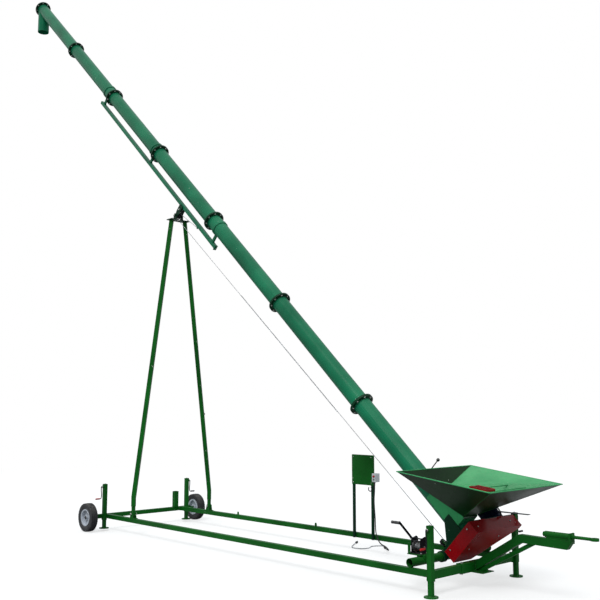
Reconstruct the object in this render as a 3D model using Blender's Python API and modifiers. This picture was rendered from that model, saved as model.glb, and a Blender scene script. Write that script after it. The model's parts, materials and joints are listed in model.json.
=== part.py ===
"""Portable grain auger: a long inclined tube with a screw inside it, carried on a two-wheeled
frame with four screw jacks. A winch rope swings an A-frame that lifts the tube about the pivot
tube at its lower end. Metres, +Z up. X runs along the frame from the wheels to the tow eye, and
Y runs across it, with the winch on the near (-Y) side."""

import math

import bmesh
import bpy
from mathutils import Euler, Vector

# ---------------------------------------------------------------- driving dimensions
GAP = 0.0003  # between faces that touch

# frame
RAIL_Z = 0.2075  # height of the rails' centre line above the ground
RAIL_HALF_SPACING = 0.686
RAIL_SIDE = 0.060
RAIL_WALL = 0.004
AXLE_BEAM_X = 0.040
REAR_MEMBER_X = 6.218
REAR_MEMBER_HEIGHT = 0.080

# wheels
WHEEL_HALF_TRACK = 0.984
TYRE_RADIUS = 0.2075
TYRE_WIDTH = 0.110
RIM_RADIUS = 0.123
STUB_AXLE_RADIUS = 0.015

# jacks
JACK_SIDE = 0.054
JACK_WALL = 0.0035
JACK_TOP = 0.475  # above the rails' centre line
JACK_BOTTOM = -0.052
JACK_PLATE = 0.009  # spacer between a jack tube and the frame
JACK_LEG_SIDE = 0.046
JACK_LEG_LENGTH = 0.560
JACK_FOOT_RADIUS = 0.072
JACK_FOOT_THICKNESS = 0.012
WHEEL_JACKS_X = 0.112
HITCH_JACKS_X = 6.244
WHEEL_JACK_LIFT = 0.0335  # how far the feet at the wheel end hang above the ground
CRANK_HEIGHT = 0.440
CRANK_ARM = 0.176
CRANK_GRIP = 0.095

# tube and screw
TUBE_SLOPE = math.radians(42.68)
TUBE_ORIGIN = Vector((6.556, 0.0, RAIL_Z - 0.073))  # a point on the tube's axis, from which UP is counted
TUBE_RADIUS = 0.1095
TUBE_WALL = 0.004
DRIVE_PLATE = 0.5455  # lower face of the plate that closes the tube's foot
DRIVE_PLATE_THICKNESS = 0.008
FIRST_FLANGE = 2.570
FLANGE_PITCH = 2.000
SECTIONS = 6
FLANGE_RADIUS = 0.155
FLANGE_THICKNESS = 0.013
SCREW_CLEARANCE = 0.005
SCREW_RADIUS = TUBE_RADIUS - TUBE_WALL - SCREW_CLEARANCE
SCREW_PITCH = 0.200
FLIGHT_STEPS = 6  # flats to a turn of the flight
SHAFT_RADIUS = 0.024
SHAFT_WALL = 0.005
SPOUT_DROP = 0.470  # from the tube's axis down to the spout's mouth

# lifting gear
PIVOT_X = 5.930
PIVOT_RADIUS = 0.0445
BRACKET_X = 0.803
BRACKET_RISE = 0.096  # leg pivots above the rails' centre line
APEX_X = 0.812
APEX_RISE = 4.609
LEG_SIDE = 0.060
LEG_HALF_SPACING_TOP = 0.125
GUIDE_LOW = 6.262
GUIDE_HIGH = 10.900
GUIDE_DEPTH = 0.265  # guide rail's centre below the tube's axis
GUIDE_SIDE = 0.050
STRUTS = (6.370, 8.700, 10.790)
ROPE_ANCHOR = 6.840
ROPE_LUG_DROP = 0.022  # the short rope's end below the guide rail
ROLLER_RADIUS = 0.035
ROLLER_CLEARANCE = 0.016  # the carriage moves this much against the rail over the lift
ROPE_RADIUS = 0.004
ROPE_RUN = 4.600
ROPE_START = 0.028  # the low run begins this far from where it meets its sheave
TOP_PULLEY_RADIUS = 0.050
LOW_SHEAVE_RADIUS = 0.045
SHEAVE_BACK = 0.062  # lower sheave from the pivot tube, towards the wheels
SHEAVE_RISE = 0.120
SHEAVE_LEAN = math.radians(-49.4)  # the sheave lies in the plane of the rope's two runs

# hopper, gate and drive
RIM_CENTRE = Vector((6.322, 0.0, RAIL_Z + 0.9007))
RIM_LENGTH = 1.158
RIM_WIDTH = 1.323
RIM_TILT = math.radians(6.81)
HOPPER_SHEET = 0.003
OUTLET_LOW = 0.660
OUTLET_HIGH = 1.100
OUTLET_HALF_WIDTH = 0.120
OUTLET_RISE = 0.1565  # hopper's lower edge above the tube's axis
GATE_THICKNESS = 0.004
GATE_HANDLE = 1.335
BOOT_WALL = 0.004
GUARD_DEPTH = 0.146
SHAFT_PULLEY_RADIUS = 0.140
MOTOR_PULLEY_RADIUS = 0.045
BELT_THICKNESS = 0.010
BELT_WIDTH = 0.040
BELT_CENTRE = 0.462
MOTOR_Y = 0.410
MOTOR_RISE = 0.130
MOTOR_RADIUS = 0.105
MOTOR_LENGTH = 0.320

# hitch
BEND_X = 6.800
BEND_RISE = 0.340
BEAM_END_X = 7.361
BEAM_END_RISE = 0.330
BEAM_SIDE = 0.080
BEAM_WIDTH = 0.060
EYE_TIP_X = 7.618
EYE_RISE = 0.412

# control panel
PANEL_LOW_X = 3.918
PANEL_HIGH_X = 4.277
PANEL_LOW = 0.645
PANEL_HIGH = 1.020

SIDES = 24

# ---------------------------------------------------------------- worked out from them
sine, cosine = math.sin(TUBE_SLOPE), math.cos(TUBE_SLOPE)


def on_tube(up, rise=0.0, y=0.0):
    """The point this far up the tube's axis and this far above it, square to it."""
    return TUBE_ORIGIN + Vector((-up * cosine + rise * sine, y, up * sine + rise * cosine))


LAST_FLANGE = FIRST_FLANGE + SECTIONS * FLANGE_PITCH
HEAD_PLATE = 0.010
HEAD_BEARING = 0.055
LEFT_END = on_tube(LAST_FLANGE + GAP / 2 + HEAD_PLATE, -FLANGE_RADIUS).x
MIDDLE_X = (LEFT_END + EYE_TIP_X) / 2
PIVOT_RISE = RAIL_SIDE / 2 + GAP + PIVOT_RADIUS
JACK_Y = RAIL_HALF_SPACING + RAIL_SIDE / 2 + JACK_PLATE + JACK_SIDE / 2


def around(radius, sides=SIDES):
    """Radius of a many-sided hole that a shaft of this radius turns in without touching."""
    return radius / math.cos(math.pi / sides) + GAP


# ---------------------------------------------------------------- scene and helpers
for old in list(bpy.data.objects):
    bpy.data.objects.remove(old, do_unlink=True)


def new_collection(name):
    collection = bpy.data.collections.new(name)
    bpy.context.scene.collection.children.link(collection)
    return collection


PARTS = new_collection("grain_auger")
TOOLS = new_collection("cutters")


def finish(name, colour, roughness, metallic=0.0):
    material = bpy.data.materials.new(name)
    material.use_nodes = True
    shader = material.node_tree.nodes["Principled BSDF"]
    shader.inputs["Base Color"].default_value = (*colour, 1)
    shader.inputs["Roughness"].default_value = roughness
    shader.inputs["Metallic"].default_value = metallic
    return material


GREEN = ("green_paint", (0.02, 0.19, 0.05), 0.35)
DARK_GREEN = ("dark_green_paint", (0.01, 0.06, 0.03), 0.4)
RED = ("red_paint", (0.42, 0.01, 0.02), 0.35)
STEEL = ("bare_steel", (0.55, 0.56, 0.58), 0.35, 1.0)
BLACK = ("black_paint", (0.02, 0.02, 0.025), 0.45)
BLUE = ("motor_blue", (0.02, 0.03, 0.12), 0.4)
RUBBER = ("tyre_rubber", (0.02, 0.02, 0.02), 0.8)
BELT = ("belt_rubber", (0.03, 0.03, 0.03), 0.7)
GREY = ("grey_plastic", (0.62, 0.64, 0.64), 0.5)
ROPE = ("wire_rope", (0.35, 0.36, 0.37), 0.5, 1.0)
SILVER = ("silver_paint", (0.6, 0.61, 0.62), 0.35, 0.6)


def axis_empty(name, at, turn=(0, 0, 0), parent=None):
    empty = bpy.data.objects.new(name, None)
    empty.empty_display_size = 0.1
    empty.location = at
    empty.rotation_euler = turn
    empty.parent = parent
    PARTS.objects.link(empty)
    return empty


def tool(mesh, at, turn):
    """A working shape: it stays hidden unless part() makes it a piece."""
    shape = bpy.data.objects.new("tool", mesh)
    shape.location = at
    shape.rotation_euler = turn
    shape.hide_render = True
    shape.display_type = "WIRE"
    TOOLS.objects.link(shape)
    return shape


TURN_TO = {"X": (0, math.pi / 2, 0), "Y": (-math.pi / 2, 0, 0), "Z": (0, 0, 0)}


def box(size, at, turn=(0, 0, 0)):
    cube = bmesh.new()
    bmesh.ops.create_cube(cube, size=1)
    bmesh.ops.scale(cube, vec=size, verts=cube.verts)
    mesh = bpy.data.meshes.new("box")
    cube.to_mesh(mesh)
    cube.free()
    return tool(mesh, at, turn)


def between(low, high):
    """A box from its lowest corner to its highest."""
    low, high = Vector(low), Vector(high)
    return box(high - low, (low + high) / 2)


def square_tube(length, width, height, wall, at, turn=(0, 0, 0)):
    """A hollow bar along its own X, open at both ends."""
    cube = bmesh.new()
    bmesh.ops.create_cube(cube, size=1)
    ends = [face for face in cube.faces if abs(face.normal.x) > 0.5]
    bmesh.ops.delete(cube, geom=ends, context="FACES")
    bmesh.ops.scale(cube, vec=(length, width, height), verts=cube.verts)
    mesh = bpy.data.meshes.new("square_tube")
    cube.to_mesh(mesh)
    cube.free()
    shape = tool(mesh, at, turn)
    skin = shape.modifiers.new("wall", "SOLIDIFY")
    skin.thickness = wall
    skin.offset = -1
    skin.use_even_offset = True
    return shape


def cylinder(radius, length, at, axis="Y", sides=SIDES, radius_end=None):
    drum = bmesh.new()
    end = radius if radius_end is None else radius_end
    bmesh.ops.create_cone(
        drum, cap_ends=True, segments=sides, radius1=radius, radius2=end, depth=length
    )
    mesh = bpy.data.meshes.new("cylinder")
    drum.to_mesh(mesh)
    drum.free()
    turn = TURN_TO[axis] if isinstance(axis, str) else axis
    return tool(mesh, at, turn)


def turned(profile, at, axis="Z", sides=SIDES, closed=True):
    """A profile of (radius, height) points, outer side first and running down, turned about an axis."""
    mesh = bpy.data.meshes.new("turned")
    last = len(profile) if closed else len(profile) - 1
    edges = [(i, (i + 1) % len(profile)) for i in range(last)]
    mesh.from_pydata([(radius, 0, height) for radius, height in profile], edges, [])
    turn = TURN_TO[axis] if isinstance(axis, str) else axis
    shape = tool(mesh, at, turn)
    lathe = shape.modifiers.new("turn", "SCREW")
    lathe.steps = lathe.render_steps = sides
    lathe.use_merge_vertices = True
    lathe.merge_threshold = 0.00001
    return shape


def ring(outer, inner, length, at, axis="Z", sides=SIDES):
    half = length / 2
    return turned([(outer, half), (outer, -half), (inner, -half), (inner, half)], at, axis, sides)


def drum_cut(radius, length, at, axis="X"):
    """A plain cutter with the same flats as a turned piece, for a seat with an even gap."""
    half = length / 2
    return turned([(0, half), (radius, half), (radius, -half), (0, -half)], at, axis, closed=False)


def plate(outline, thickness, at, turn=(0, 0, 0), holes=()):
    """A flat sheet cut to an outline in its own XY plane, as a mesh."""
    curve = bpy.data.curves.new("plate", "CURVE")
    curve.dimensions = "2D"
    curve.fill_mode = "BOTH"
    curve.extrude = thickness / 2
    for loop in (outline, *holes):
        spline = curve.splines.new("POLY")
        spline.points.add(len(loop) - 1)
        for point, (x, y) in zip(spline.points, loop):
            point.co = (x, y, 0, 1)
        spline.use_cyclic_u = True
    return as_mesh(curve, at, turn)


def as_mesh(curve, at, turn):
    """A curve made a mesh, so that it can be cut and joined."""
    drawn = bpy.data.objects.new("curve", curve)
    TOOLS.objects.link(drawn)
    bpy.context.view_layer.update()
    graph = bpy.context.evaluated_depsgraph_get()
    mesh = bpy.data.meshes.new_from_object(drawn.evaluated_get(graph))
    bpy.data.objects.remove(drawn)
    welded = bmesh.new()
    welded.from_mesh(mesh)
    bmesh.ops.remove_doubles(welded, verts=welded.verts, dist=0.00001)
    bmesh.ops.recalc_face_normals(welded, faces=welded.faces)
    welded.to_mesh(mesh)
    welded.free()
    return tool(mesh, at, turn)


def round_bar(points, radius, resolution=2):
    """A round bar bent through these points, as a mesh."""
    curve = bpy.data.curves.new("bar", "CURVE")
    curve.dimensions = "3D"
    curve.bevel_depth = radius
    curve.bevel_resolution = resolution
    curve.use_fill_caps = True
    spline = curve.splines.new("POLY")
    spline.points.add(len(points) - 1)
    for target, point in zip(spline.points, points):
        target.co = (*point, 1)
    return as_mesh(curve, (0, 0, 0), (0, 0, 0))


def arc(centre, radius, start, end, steps):
    """Points round a circle, from one angle to the other in degrees."""
    found = []
    for i in range(steps + 1):
        angle = math.radians(start + (end - start) * i / steps)
        found.append((centre[0] + radius * math.cos(angle), centre[1] + radius * math.sin(angle)))
    return found


def part(name, look, pieces, cuts=(), parent=None):
    """Joins the pieces into one named solid, then makes the cuts."""
    body = pieces[0]
    TOOLS.objects.unlink(body)
    PARTS.objects.link(body)
    body.name = body.data.name = name
    body.hide_render = False
    body.display_type = "TEXTURED"
    body.data.materials.clear()
    body.data.materials.append(bpy.data.materials.get(look[0]) or finish(*look))
    for operation, shapes in (("UNION", pieces[1:]), ("DIFFERENCE", cuts)):
        for shape in shapes:
            step = body.modifiers.new(operation.lower(), "BOOLEAN")
            step.operation = operation
            step.object = shape
    for shape in (body, *pieces[1:], *cuts):
        shape.parent = parent
    return body


# ---------------------------------------------------------------- frame
ORIGIN = axis_empty("frame_origin", (-MIDDLE_X, 0, 0))
SIDES_OF_FRAME = (("near", -1), ("far", 1))


def build_rails():
    start = AXLE_BEAM_X + RAIL_SIDE / 2 + GAP
    end = REAR_MEMBER_X - RAIL_SIDE / 2 - GAP
    top = RAIL_Z + RAIL_SIDE / 2
    for side, sign in SIDES_OF_FRAME:
        y = sign * RAIL_HALF_SPACING
        rail = square_tube(
            end - start, RAIL_SIDE, RAIL_SIDE, RAIL_WALL, ((start + end) / 2, y, RAIL_Z)
        )
        foot = between((BRACKET_X - 0.07, y - 0.03, top - 0.002), (BRACKET_X + 0.07, y + 0.03, top + 0.008))
        pin = cylinder(0.010, 0.080, (BRACKET_X, y, RAIL_Z + BRACKET_RISE))
        ears = []
        for ear in (-1, 1):
            outline = [(-0.045, 0.0), (0.045, 0.0)] + arc((0, BRACKET_RISE - RAIL_SIDE / 2), 0.03, 0, 180, 8)
            ears.append(
                plate(outline, 0.008, (BRACKET_X, y + ear * 0.026, top), (math.pi / 2, 0, 0))
            )
        part(f"{side}_rail", GREEN, [rail, foot, *ears, pin], parent=ORIGIN)


def jack_tube(x, sign):
    length = JACK_TOP - JACK_BOTTOM
    y = sign * JACK_Y
    middle = RAIL_Z + (JACK_TOP + JACK_BOTTOM) / 2
    tube = square_tube(length, JACK_SIDE, JACK_SIDE, JACK_WALL, (x, y, middle), (0, math.pi / 2, 0))
    cap = box((JACK_SIDE, JACK_SIDE, 0.005), (x, y, RAIL_Z + JACK_TOP + 0.001))
    boss = cylinder(
        0.022, 0.014, (x, y + sign * (JACK_SIDE / 2 + 0.006), RAIL_Z + CRANK_HEIGHT), sides=20
    )
    return [tube, cap, boss]


def build_axle_beam():
    half = WHEEL_HALF_TRACK - TYRE_WIDTH / 2 - 0.065
    pieces = [
        square_tube(2 * half, RAIL_SIDE, RAIL_SIDE, RAIL_WALL, (AXLE_BEAM_X, 0, RAIL_Z), (0, 0, math.pi / 2))
    ]
    for _, sign in SIDES_OF_FRAME:
        pieces.append(box((RAIL_SIDE, 0.010, RAIL_SIDE), (AXLE_BEAM_X, sign * half, RAIL_Z)))
        stub = WHEEL_HALF_TRACK + 0.042 - half
        pieces.append(cylinder(STUB_AXLE_RADIUS, stub, (AXLE_BEAM_X, sign * (half + stub / 2), RAIL_Z)))
        face = AXLE_BEAM_X + RAIL_SIDE / 2
        pieces.append(
            between(
                (face - 0.002, sign * JACK_Y - 0.022, RAIL_Z - 0.045),
                (WHEEL_JACKS_X - JACK_SIDE / 2 + 0.001, sign * JACK_Y + 0.022, RAIL_Z + 0.028),
            )
        )
        pieces += jack_tube(WHEEL_JACKS_X, sign)
    rest = square_tube(0.25, 0.07, 0.07, 0.004, (AXLE_BEAM_X + 0.01, 0.58, RAIL_Z + 0.152), (0, math.pi / 2, 0))
    pieces.append(rest)
    drain = cylinder(0.006, 0.02, (AXLE_BEAM_X, 0, RAIL_Z - RAIL_SIDE / 2), "Z", 12)
    part("axle_beam", GREEN, pieces, [drain], ORIGIN)


def build_rear_member():
    length = 2 * (RAIL_HALF_SPACING + RAIL_SIDE / 2)
    pieces = [
        square_tube(
            length, RAIL_SIDE, REAR_MEMBER_HEIGHT, RAIL_WALL, (REAR_MEMBER_X, 0, RAIL_Z), (0, 0, math.pi / 2)
        )
    ]
    for _, sign in SIDES_OF_FRAME:
        inner = RAIL_HALF_SPACING + RAIL_SIDE / 2 - 0.001
        outer = JACK_Y - JACK_SIDE / 2 + 0.001
        low, high = sorted((sign * inner, sign * outer))
        pieces.append(
            between(
                (REAR_MEMBER_X - RAIL_SIDE / 2, low, RAIL_Z - 0.055),
                (HITCH_JACKS_X + 0.025, high, RAIL_Z + 0.055),
            )
        )
        pieces += jack_tube(HITCH_JACKS_X, sign)
    drain = cylinder(0.006, 0.02, (REAR_MEMBER_X, 0.4, RAIL_Z - REAR_MEMBER_HEIGHT / 2), "Z", 12)
    part("rear_cross_member", GREEN, pieces, [drain], ORIGIN)


def build_jack(corner, x, sign, lift):
    leg_empty = axis_empty(f"{corner}_jack_slide", (x, sign * JACK_Y, lift), parent=ORIGIN)
    shin = square_tube(
        JACK_LEG_LENGTH,
        JACK_LEG_SIDE,
        JACK_LEG_SIDE,
        0.003,
        (0, 0, JACK_LEG_LENGTH / 2 + 0.005),
        (0, math.pi / 2, 0),
    )
    foot = cylinder(JACK_FOOT_RADIUS, JACK_FOOT_THICKNESS, (0, 0, JACK_FOOT_THICKNESS / 2), "Z", 28)
    part(f"{corner}_jack_leg", GREEN, [shin, foot], parent=leg_empty)
    face = JACK_Y + JACK_SIDE / 2 + 0.013 + GAP
    crank_at = (x, sign * face, RAIL_Z + CRANK_HEIGHT)
    crank_empty = axis_empty(f"{corner}_jack_crank_axis", crank_at, parent=ORIGIN)
    hub = cylinder(0.014, 0.030, (0, sign * 0.015, 0), sides=16)
    back, front = sorted((0.018 * sign, 0.026 * sign))
    arm = between((-0.012, back, -CRANK_ARM - 0.012), (0.012, front, 0.004))
    grip = cylinder(0.011, CRANK_GRIP, (0, sign * (0.022 + CRANK_GRIP / 2), -CRANK_ARM), sides=16)
    part(f"{corner}_jack_crank", BLACK, [hub, arm, grip], parent=crank_empty)


def build_wheels():
    tyre_half, rim_half = TYRE_WIDTH / 2, 0.045
    r = TYRE_RADIUS
    for side, sign in SIDES_OF_FRAME:
        hub = axis_empty(
            f"{side}_wheel_axis", (AXLE_BEAM_X, sign * WHEEL_HALF_TRACK, RAIL_Z), parent=ORIGIN
        )
        bead = RIM_RADIUS - 0.012 + GAP
        outside = [(r, 0.6), (r * 0.97, 0.88), (r * 0.86, 1.0), (r * 0.70, 0.93)]
        upper = [(radius, share * tyre_half) for radius, share in outside]
        wall = [(bead, rim_half - 0.0055), (RIM_RADIUS + 0.0015, rim_half - 0.005)] + upper[::-1]
        tyre = wall + [(radius, -z) for radius, z in wall[::-1]]
        part(f"{side}_tyre", RUBBER, [turned(tyre, (0, 0, 0), "Y")], parent=hub)
        bore = around(STUB_AXLE_RADIUS)
        seat = RIM_RADIUS - 0.012
        lip = rim_half + 0.006
        rim = [
            (RIM_RADIUS, lip),
            (RIM_RADIUS, rim_half - 0.003),
            (seat, rim_half - 0.0045),
            (seat, 0.0045 - rim_half),
            (RIM_RADIUS, 0.003 - rim_half),
            (RIM_RADIUS, -lip),
            (seat - 0.007, -lip),
            (seat - 0.012, -0.008),
            (0.036, -0.012),
            (0.034, -0.040),
            (bore, -0.040),
            (bore, 0.040),
            (0.034, 0.040),
            (0.038, 0.004),
            (seat - 0.012, 0.004),
            (seat - 0.007, lip),
        ]
        part(f"{side}_rim", SILVER, [turned(rim, (0, 0, 0), "Y")], parent=hub)


# ---------------------------------------------------------------- hitch
def build_drawbar():
    inner_x, inner_z = RAIL_SIDE / 2 + GAP, REAR_MEMBER_HEIGHT / 2 + GAP
    sheet = 0.008
    sleeve = box((2 * (inner_x + sheet), 0.50, 2 * (inner_z + sheet)), (REAR_MEMBER_X, 0, RAIL_Z))
    hollow = box((2 * inner_x, 0.60, 2 * inner_z), (REAR_MEMBER_X, 0, RAIL_Z))
    base = Vector((REAR_MEMBER_X + inner_x + 0.004, 0, RAIL_Z + 0.005))
    bend = Vector((BEND_X, 0, RAIL_Z + BEND_RISE))
    end = Vector((BEAM_END_X, 0, RAIL_Z + BEAM_END_RISE))
    h = BEAM_SIDE / 2
    rise = (bend - base).normalized()
    run = (end - bend).normalized()
    rise_up, run_up = Vector((-rise.z, 0, rise.x)), Vector((-run.z, 0, run.x))
    knee = (rise_up + run_up).normalized()
    knee *= h / knee.dot(rise_up)
    outline = [
        base - rise_up * h,
        bend - knee,
        end - run_up * h - Vector((0.055, 0, 0)),
        end + run_up * h,
        bend + knee,
        base + rise_up * h,
    ]
    flat = [(point.x, point.z) for point in outline]
    beam = plate(flat, BEAM_WIDTH, (0, 0, 0), (math.pi / 2, 0, 0))
    strut_low = Vector((6.335, 0, RAIL_Z - 0.020))
    strut_high = Vector((6.930, 0, RAIL_Z + 0.305))
    direction = strut_high - strut_low
    strut = box(
        (direction.length, 0.030, 0.040),
        (strut_low + strut_high) / 2,
        (0, -math.atan2(direction.z, direction.x), 0),
    )
    shelf_x, shelf_z = REAR_MEMBER_X + inner_x, RAIL_Z - inner_z
    shelf = between((shelf_x + 0.002, -0.10, shelf_z - sheet), (6.400, 0.10, shelf_z))
    web = between((shelf_x + 0.004, -0.010, shelf_z - 0.002), (6.390, 0.010, RAIL_Z + 0.02))
    seat = between((7.085, -0.022, RAIL_Z + BEAM_END_RISE + 0.02), (7.345, 0.022, RAIL_Z + EYE_RISE - 0.020))
    sleeve_tube = cylinder(0.030, 0.275, (7.205, 0, RAIL_Z + EYE_RISE), "X", 24)
    flange = between((7.335, -0.045, RAIL_Z + 0.345), (7.350, 0.045, RAIL_Z + EYE_RISE + 0.035))
    bore = cylinder(around(0.016, 24), 0.40, (7.205, 0, RAIL_Z + EYE_RISE), "X", 24)
    part("drawbar", GREEN, [sleeve, beam, strut, shelf, web, seat, sleeve_tube, flange], [hollow, bore], ORIGIN)
    swivel = axis_empty("tow_eye_axis", (7.35, 0, RAIL_Z + EYE_RISE), parent=ORIGIN)
    shank_end = EYE_TIP_X - 7.35 - 0.075
    shank = cylinder(0.016, shank_end + 0.305, ((shank_end - 0.305) / 2, 0, 0), "X", 24)
    collar = cylinder(0.026, 0.014, (0.0085, 0, 0), "X", 24)
    nut = cylinder(0.026, 0.018, (-0.2925, 0, 0), "X", 6)
    loop = ring(0.040, 0.026, 0.026, (EYE_TIP_X - 7.35 - 0.040, 0, 0), "Z", 28)
    part("tow_eye", GREEN, [shank, collar, nut, loop], parent=swivel)


# ---------------------------------------------------------------- pivot tube, sheave and winch
PIVOT = Vector((PIVOT_X, 0, RAIL_Z + PIVOT_RISE))
GROOVE_DEPTH = 0.008
ROPE_SEAT = ROPE_RADIUS + 0.0004 - GROOVE_DEPTH  # rope's centre from a sheave's rim
ROPE_SIDE = ROPE_RADIUS + GAP / 2  # each hoist run lies this far off the middle plane
SHEAVE_GROOVE = LOW_SHEAVE_RADIUS + ROPE_SEAT - ROPE_SIDE
SHEAVE = PIVOT + Vector((-SHEAVE_BACK, -SHEAVE_GROOVE, SHEAVE_RISE))
WINCH = PIVOT + Vector((-0.060, -0.450, 0.128))
DRUM_RADIUS, DRUM_FLANGE, GEAR_RADIUS, PINION_RADIUS = 0.028, 0.048, 0.060, 0.015
WINCH_HALF = 0.058


def grooved(radius, depth, half, bore):
    """Profile of a sheave whose groove has a flat floor."""
    return [
        (radius, half),
        (radius, half * 0.9),
        (radius - depth, half * 0.66),
        (radius - depth, -half * 0.66),
        (radius, -half * 0.9),
        (radius, -half),
        (bore, -half),
        (bore, half),
    ]


def build_pivot_tube():
    length = 2 * RAIL_HALF_SPACING + 0.010
    tube = ring(PIVOT_RADIUS, PIVOT_RADIUS - 0.005, length, (0, 0, 0), "Y")
    outline = [(-0.024, -0.108), (0.024, -0.108)] + arc((0, 0), 0.030, 0, 180, 8)
    stand = axis_empty("lower_sheave_block", SHEAVE, (0, SHEAVE_LEAN, 0), ORIGIN)
    away = Vector((-SHEAVE_BACK, -SHEAVE_GROOVE, SHEAVE_RISE))
    cheeks = []
    for side in (-1, 1):
        offset = Vector((0.0165 * side * math.cos(SHEAVE_LEAN), 0, -0.0165 * side * math.sin(SHEAVE_LEAN)))
        cheek = plate(outline, 0.006, away + offset)
        cheek.rotation_mode = "QUATERNION"
        upright = Euler((math.pi / 2, 0, math.pi / 2)).to_quaternion()
        cheek.rotation_quaternion = Euler((0, SHEAVE_LEAN, 0)).to_quaternion() @ upright
        cheeks.append(cheek)
    axle = cylinder(0.008, 0.044, away, (0, math.pi / 2 + SHEAVE_LEAN, 0), 16)
    place = axis_empty("pivot_tube_axis", PIVOT, parent=ORIGIN)
    part("pivot_tube", GREEN, [tube, *cheeks, axle], parent=place)
    profile = grooved(LOW_SHEAVE_RADIUS, GROOVE_DEPTH, 0.011, around(0.008, 20))
    part("lower_sheave", BLACK, [turned(profile, (0, 0, 0), "X", 24)], parent=stand)


def build_winch():
    place = axis_empty("winch_place", WINCH, parent=ORIGIN)
    down = PIVOT.z - WINCH.z
    across = PIVOT.x - WINCH.x
    floor_top = -GEAR_RADIUS - 0.002
    base = between((-0.085, -0.10, floor_top - 0.014), (0.085, 0.10, floor_top - 0.006))
    saddle = between((across - 0.050, -0.06, down - 0.01), (across + 0.050, 0.06, floor_top - 0.008))
    bars = []
    for y in (-0.095, 0.085):
        bars.append(between((-0.080, y, floor_top - 0.012), (-0.050, y + 0.010, 0.040)))
    hole = cylinder(around(PIVOT_RADIUS), 0.4, (across, 0, down))
    part("winch_bracket", GREEN, [base, saddle, *bars], [hole], place)
    floor = between((-0.075, -0.070, floor_top - 0.006 + GAP), (0.075, 0.070, floor_top))
    sides = []
    outline = [(-0.065, floor_top - 0.001), (0.065, floor_top - 0.001)]
    outline += arc((0.015, 0.070), 0.032, 0, 90, 4) + arc((-0.030, 0.055), 0.035, 90, 180, 4)
    for x in (-WINCH_HALF, WINCH_HALF):
        sides.append(plate(outline, 0.005, (x, 0, 0), (math.pi / 2, 0, math.pi / 2)))
    tie = cylinder(0.006, 2 * WINCH_HALF, (0, -0.050, 0.060), "X", 12)
    pinion_at = GEAR_RADIUS + PINION_RADIUS + 0.001
    holes = [
        cylinder(around(0.010, 16), 0.3, (0, 0, 0), "X", 16),
        cylinder(around(0.008, 16), 0.3, (0, 0, pinion_at), "X", 16),
    ]
    part("winch_housing", BLACK, [floor, *sides, tie], holes, place)
    inside = WINCH_HALF - 0.0025 - 0.001
    gear_in = inside - 0.012
    drum = [
        (0, WINCH_HALF + 0.012),
        (0.010, WINCH_HALF + 0.012),
        (0.010, inside),
        (DRUM_FLANGE, inside),
        (DRUM_FLANGE, inside - 0.004),
        (DRUM_RADIUS, inside - 0.004),
        (DRUM_RADIUS, -gear_in),
        (GEAR_RADIUS - 0.0005, -gear_in),
        (GEAR_RADIUS - 0.0005, -inside),
        (0.010, -inside),
        (0.010, -WINCH_HALF - 0.008),
        (0, -WINCH_HALF - 0.008),
    ]
    drum_axis = axis_empty("winch_drum_axis", WINCH, parent=ORIGIN)
    part("winch_drum", STEEL, [turned(drum, (0, 0, 0), "X", 24, closed=False)], parent=drum_axis)
    crank_axis = axis_empty("winch_crank_axis", WINCH + Vector((0, 0, pinion_at)), parent=ORIGIN)
    shaft = cylinder(0.008, 2 * WINCH_HALF + 0.06, (-0.025, 0, 0), "X", 16)
    pinion = cylinder(PINION_RADIUS, 0.010, (-inside + 0.006, 0, 0), "X", 16)
    reach = 0.250
    tip = Vector((-WINCH_HALF - 0.047, -reach * 0.74, reach * 0.67))
    middle = Vector((tip.x, tip.y / 2, tip.z / 2))
    arm = box((0.008, reach + 0.03, 0.024), middle, (math.atan2(tip.z, tip.y), 0, 0))
    grip = cylinder(0.013, 0.110, tip + Vector((-0.055, 0, 0)), "X", 16)
    part("winch_crank", BLACK, [shaft, pinion, arm, grip], parent=crank_axis)


# ---------------------------------------------------------------- tube, screw and drive
LIFT = axis_empty("lift_axis", PIVOT, parent=ORIGIN)
SLOPE = axis_empty("tube_axis", TUBE_ORIGIN - PIVOT, (0, TUBE_SLOPE, 0), LIFT)
ALONG = Vector((-cosine, 0, sine))
SQUARE = Vector((sine, 0, cosine))
PIVOT_UP = (PIVOT - TUBE_ORIGIN).dot(ALONG)
PIVOT_BELOW = (PIVOT - TUBE_ORIGIN).dot(SQUARE)
TUBE_BORE = TUBE_RADIUS - TUBE_WALL
TUBE_FOOT = DRIVE_PLATE + DRIVE_PLATE_THICKNESS + GAP
GUARD_BACK = DRIVE_PLATE - GAP
GUARD_OUTLINE = ((-0.210, -0.215), (0.100, -0.215), (0.610, 0.195), (0.610, 0.240), (-0.210, 0.240))
SPOUT_UP_EDGE = on_tube(LAST_FLANGE - FLANGE_THICKNESS - 0.004, -TUBE_RADIUS).x
SPOUT_X = SPOUT_UP_EDGE + TUBE_RADIUS
SPOUT_UP = (TUBE_ORIGIN.x - SPOUT_X) / cosine
DOWN = (0, -TUBE_SLOPE, 0)  # stands a shape of the tube's frame upright again


def down_from(up, drop):
    """A point plumb below the tube's axis, in the tube's own frame."""
    return Vector((-up, 0, 0)) + Vector((sine, 0, -cosine)) * drop


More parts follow.
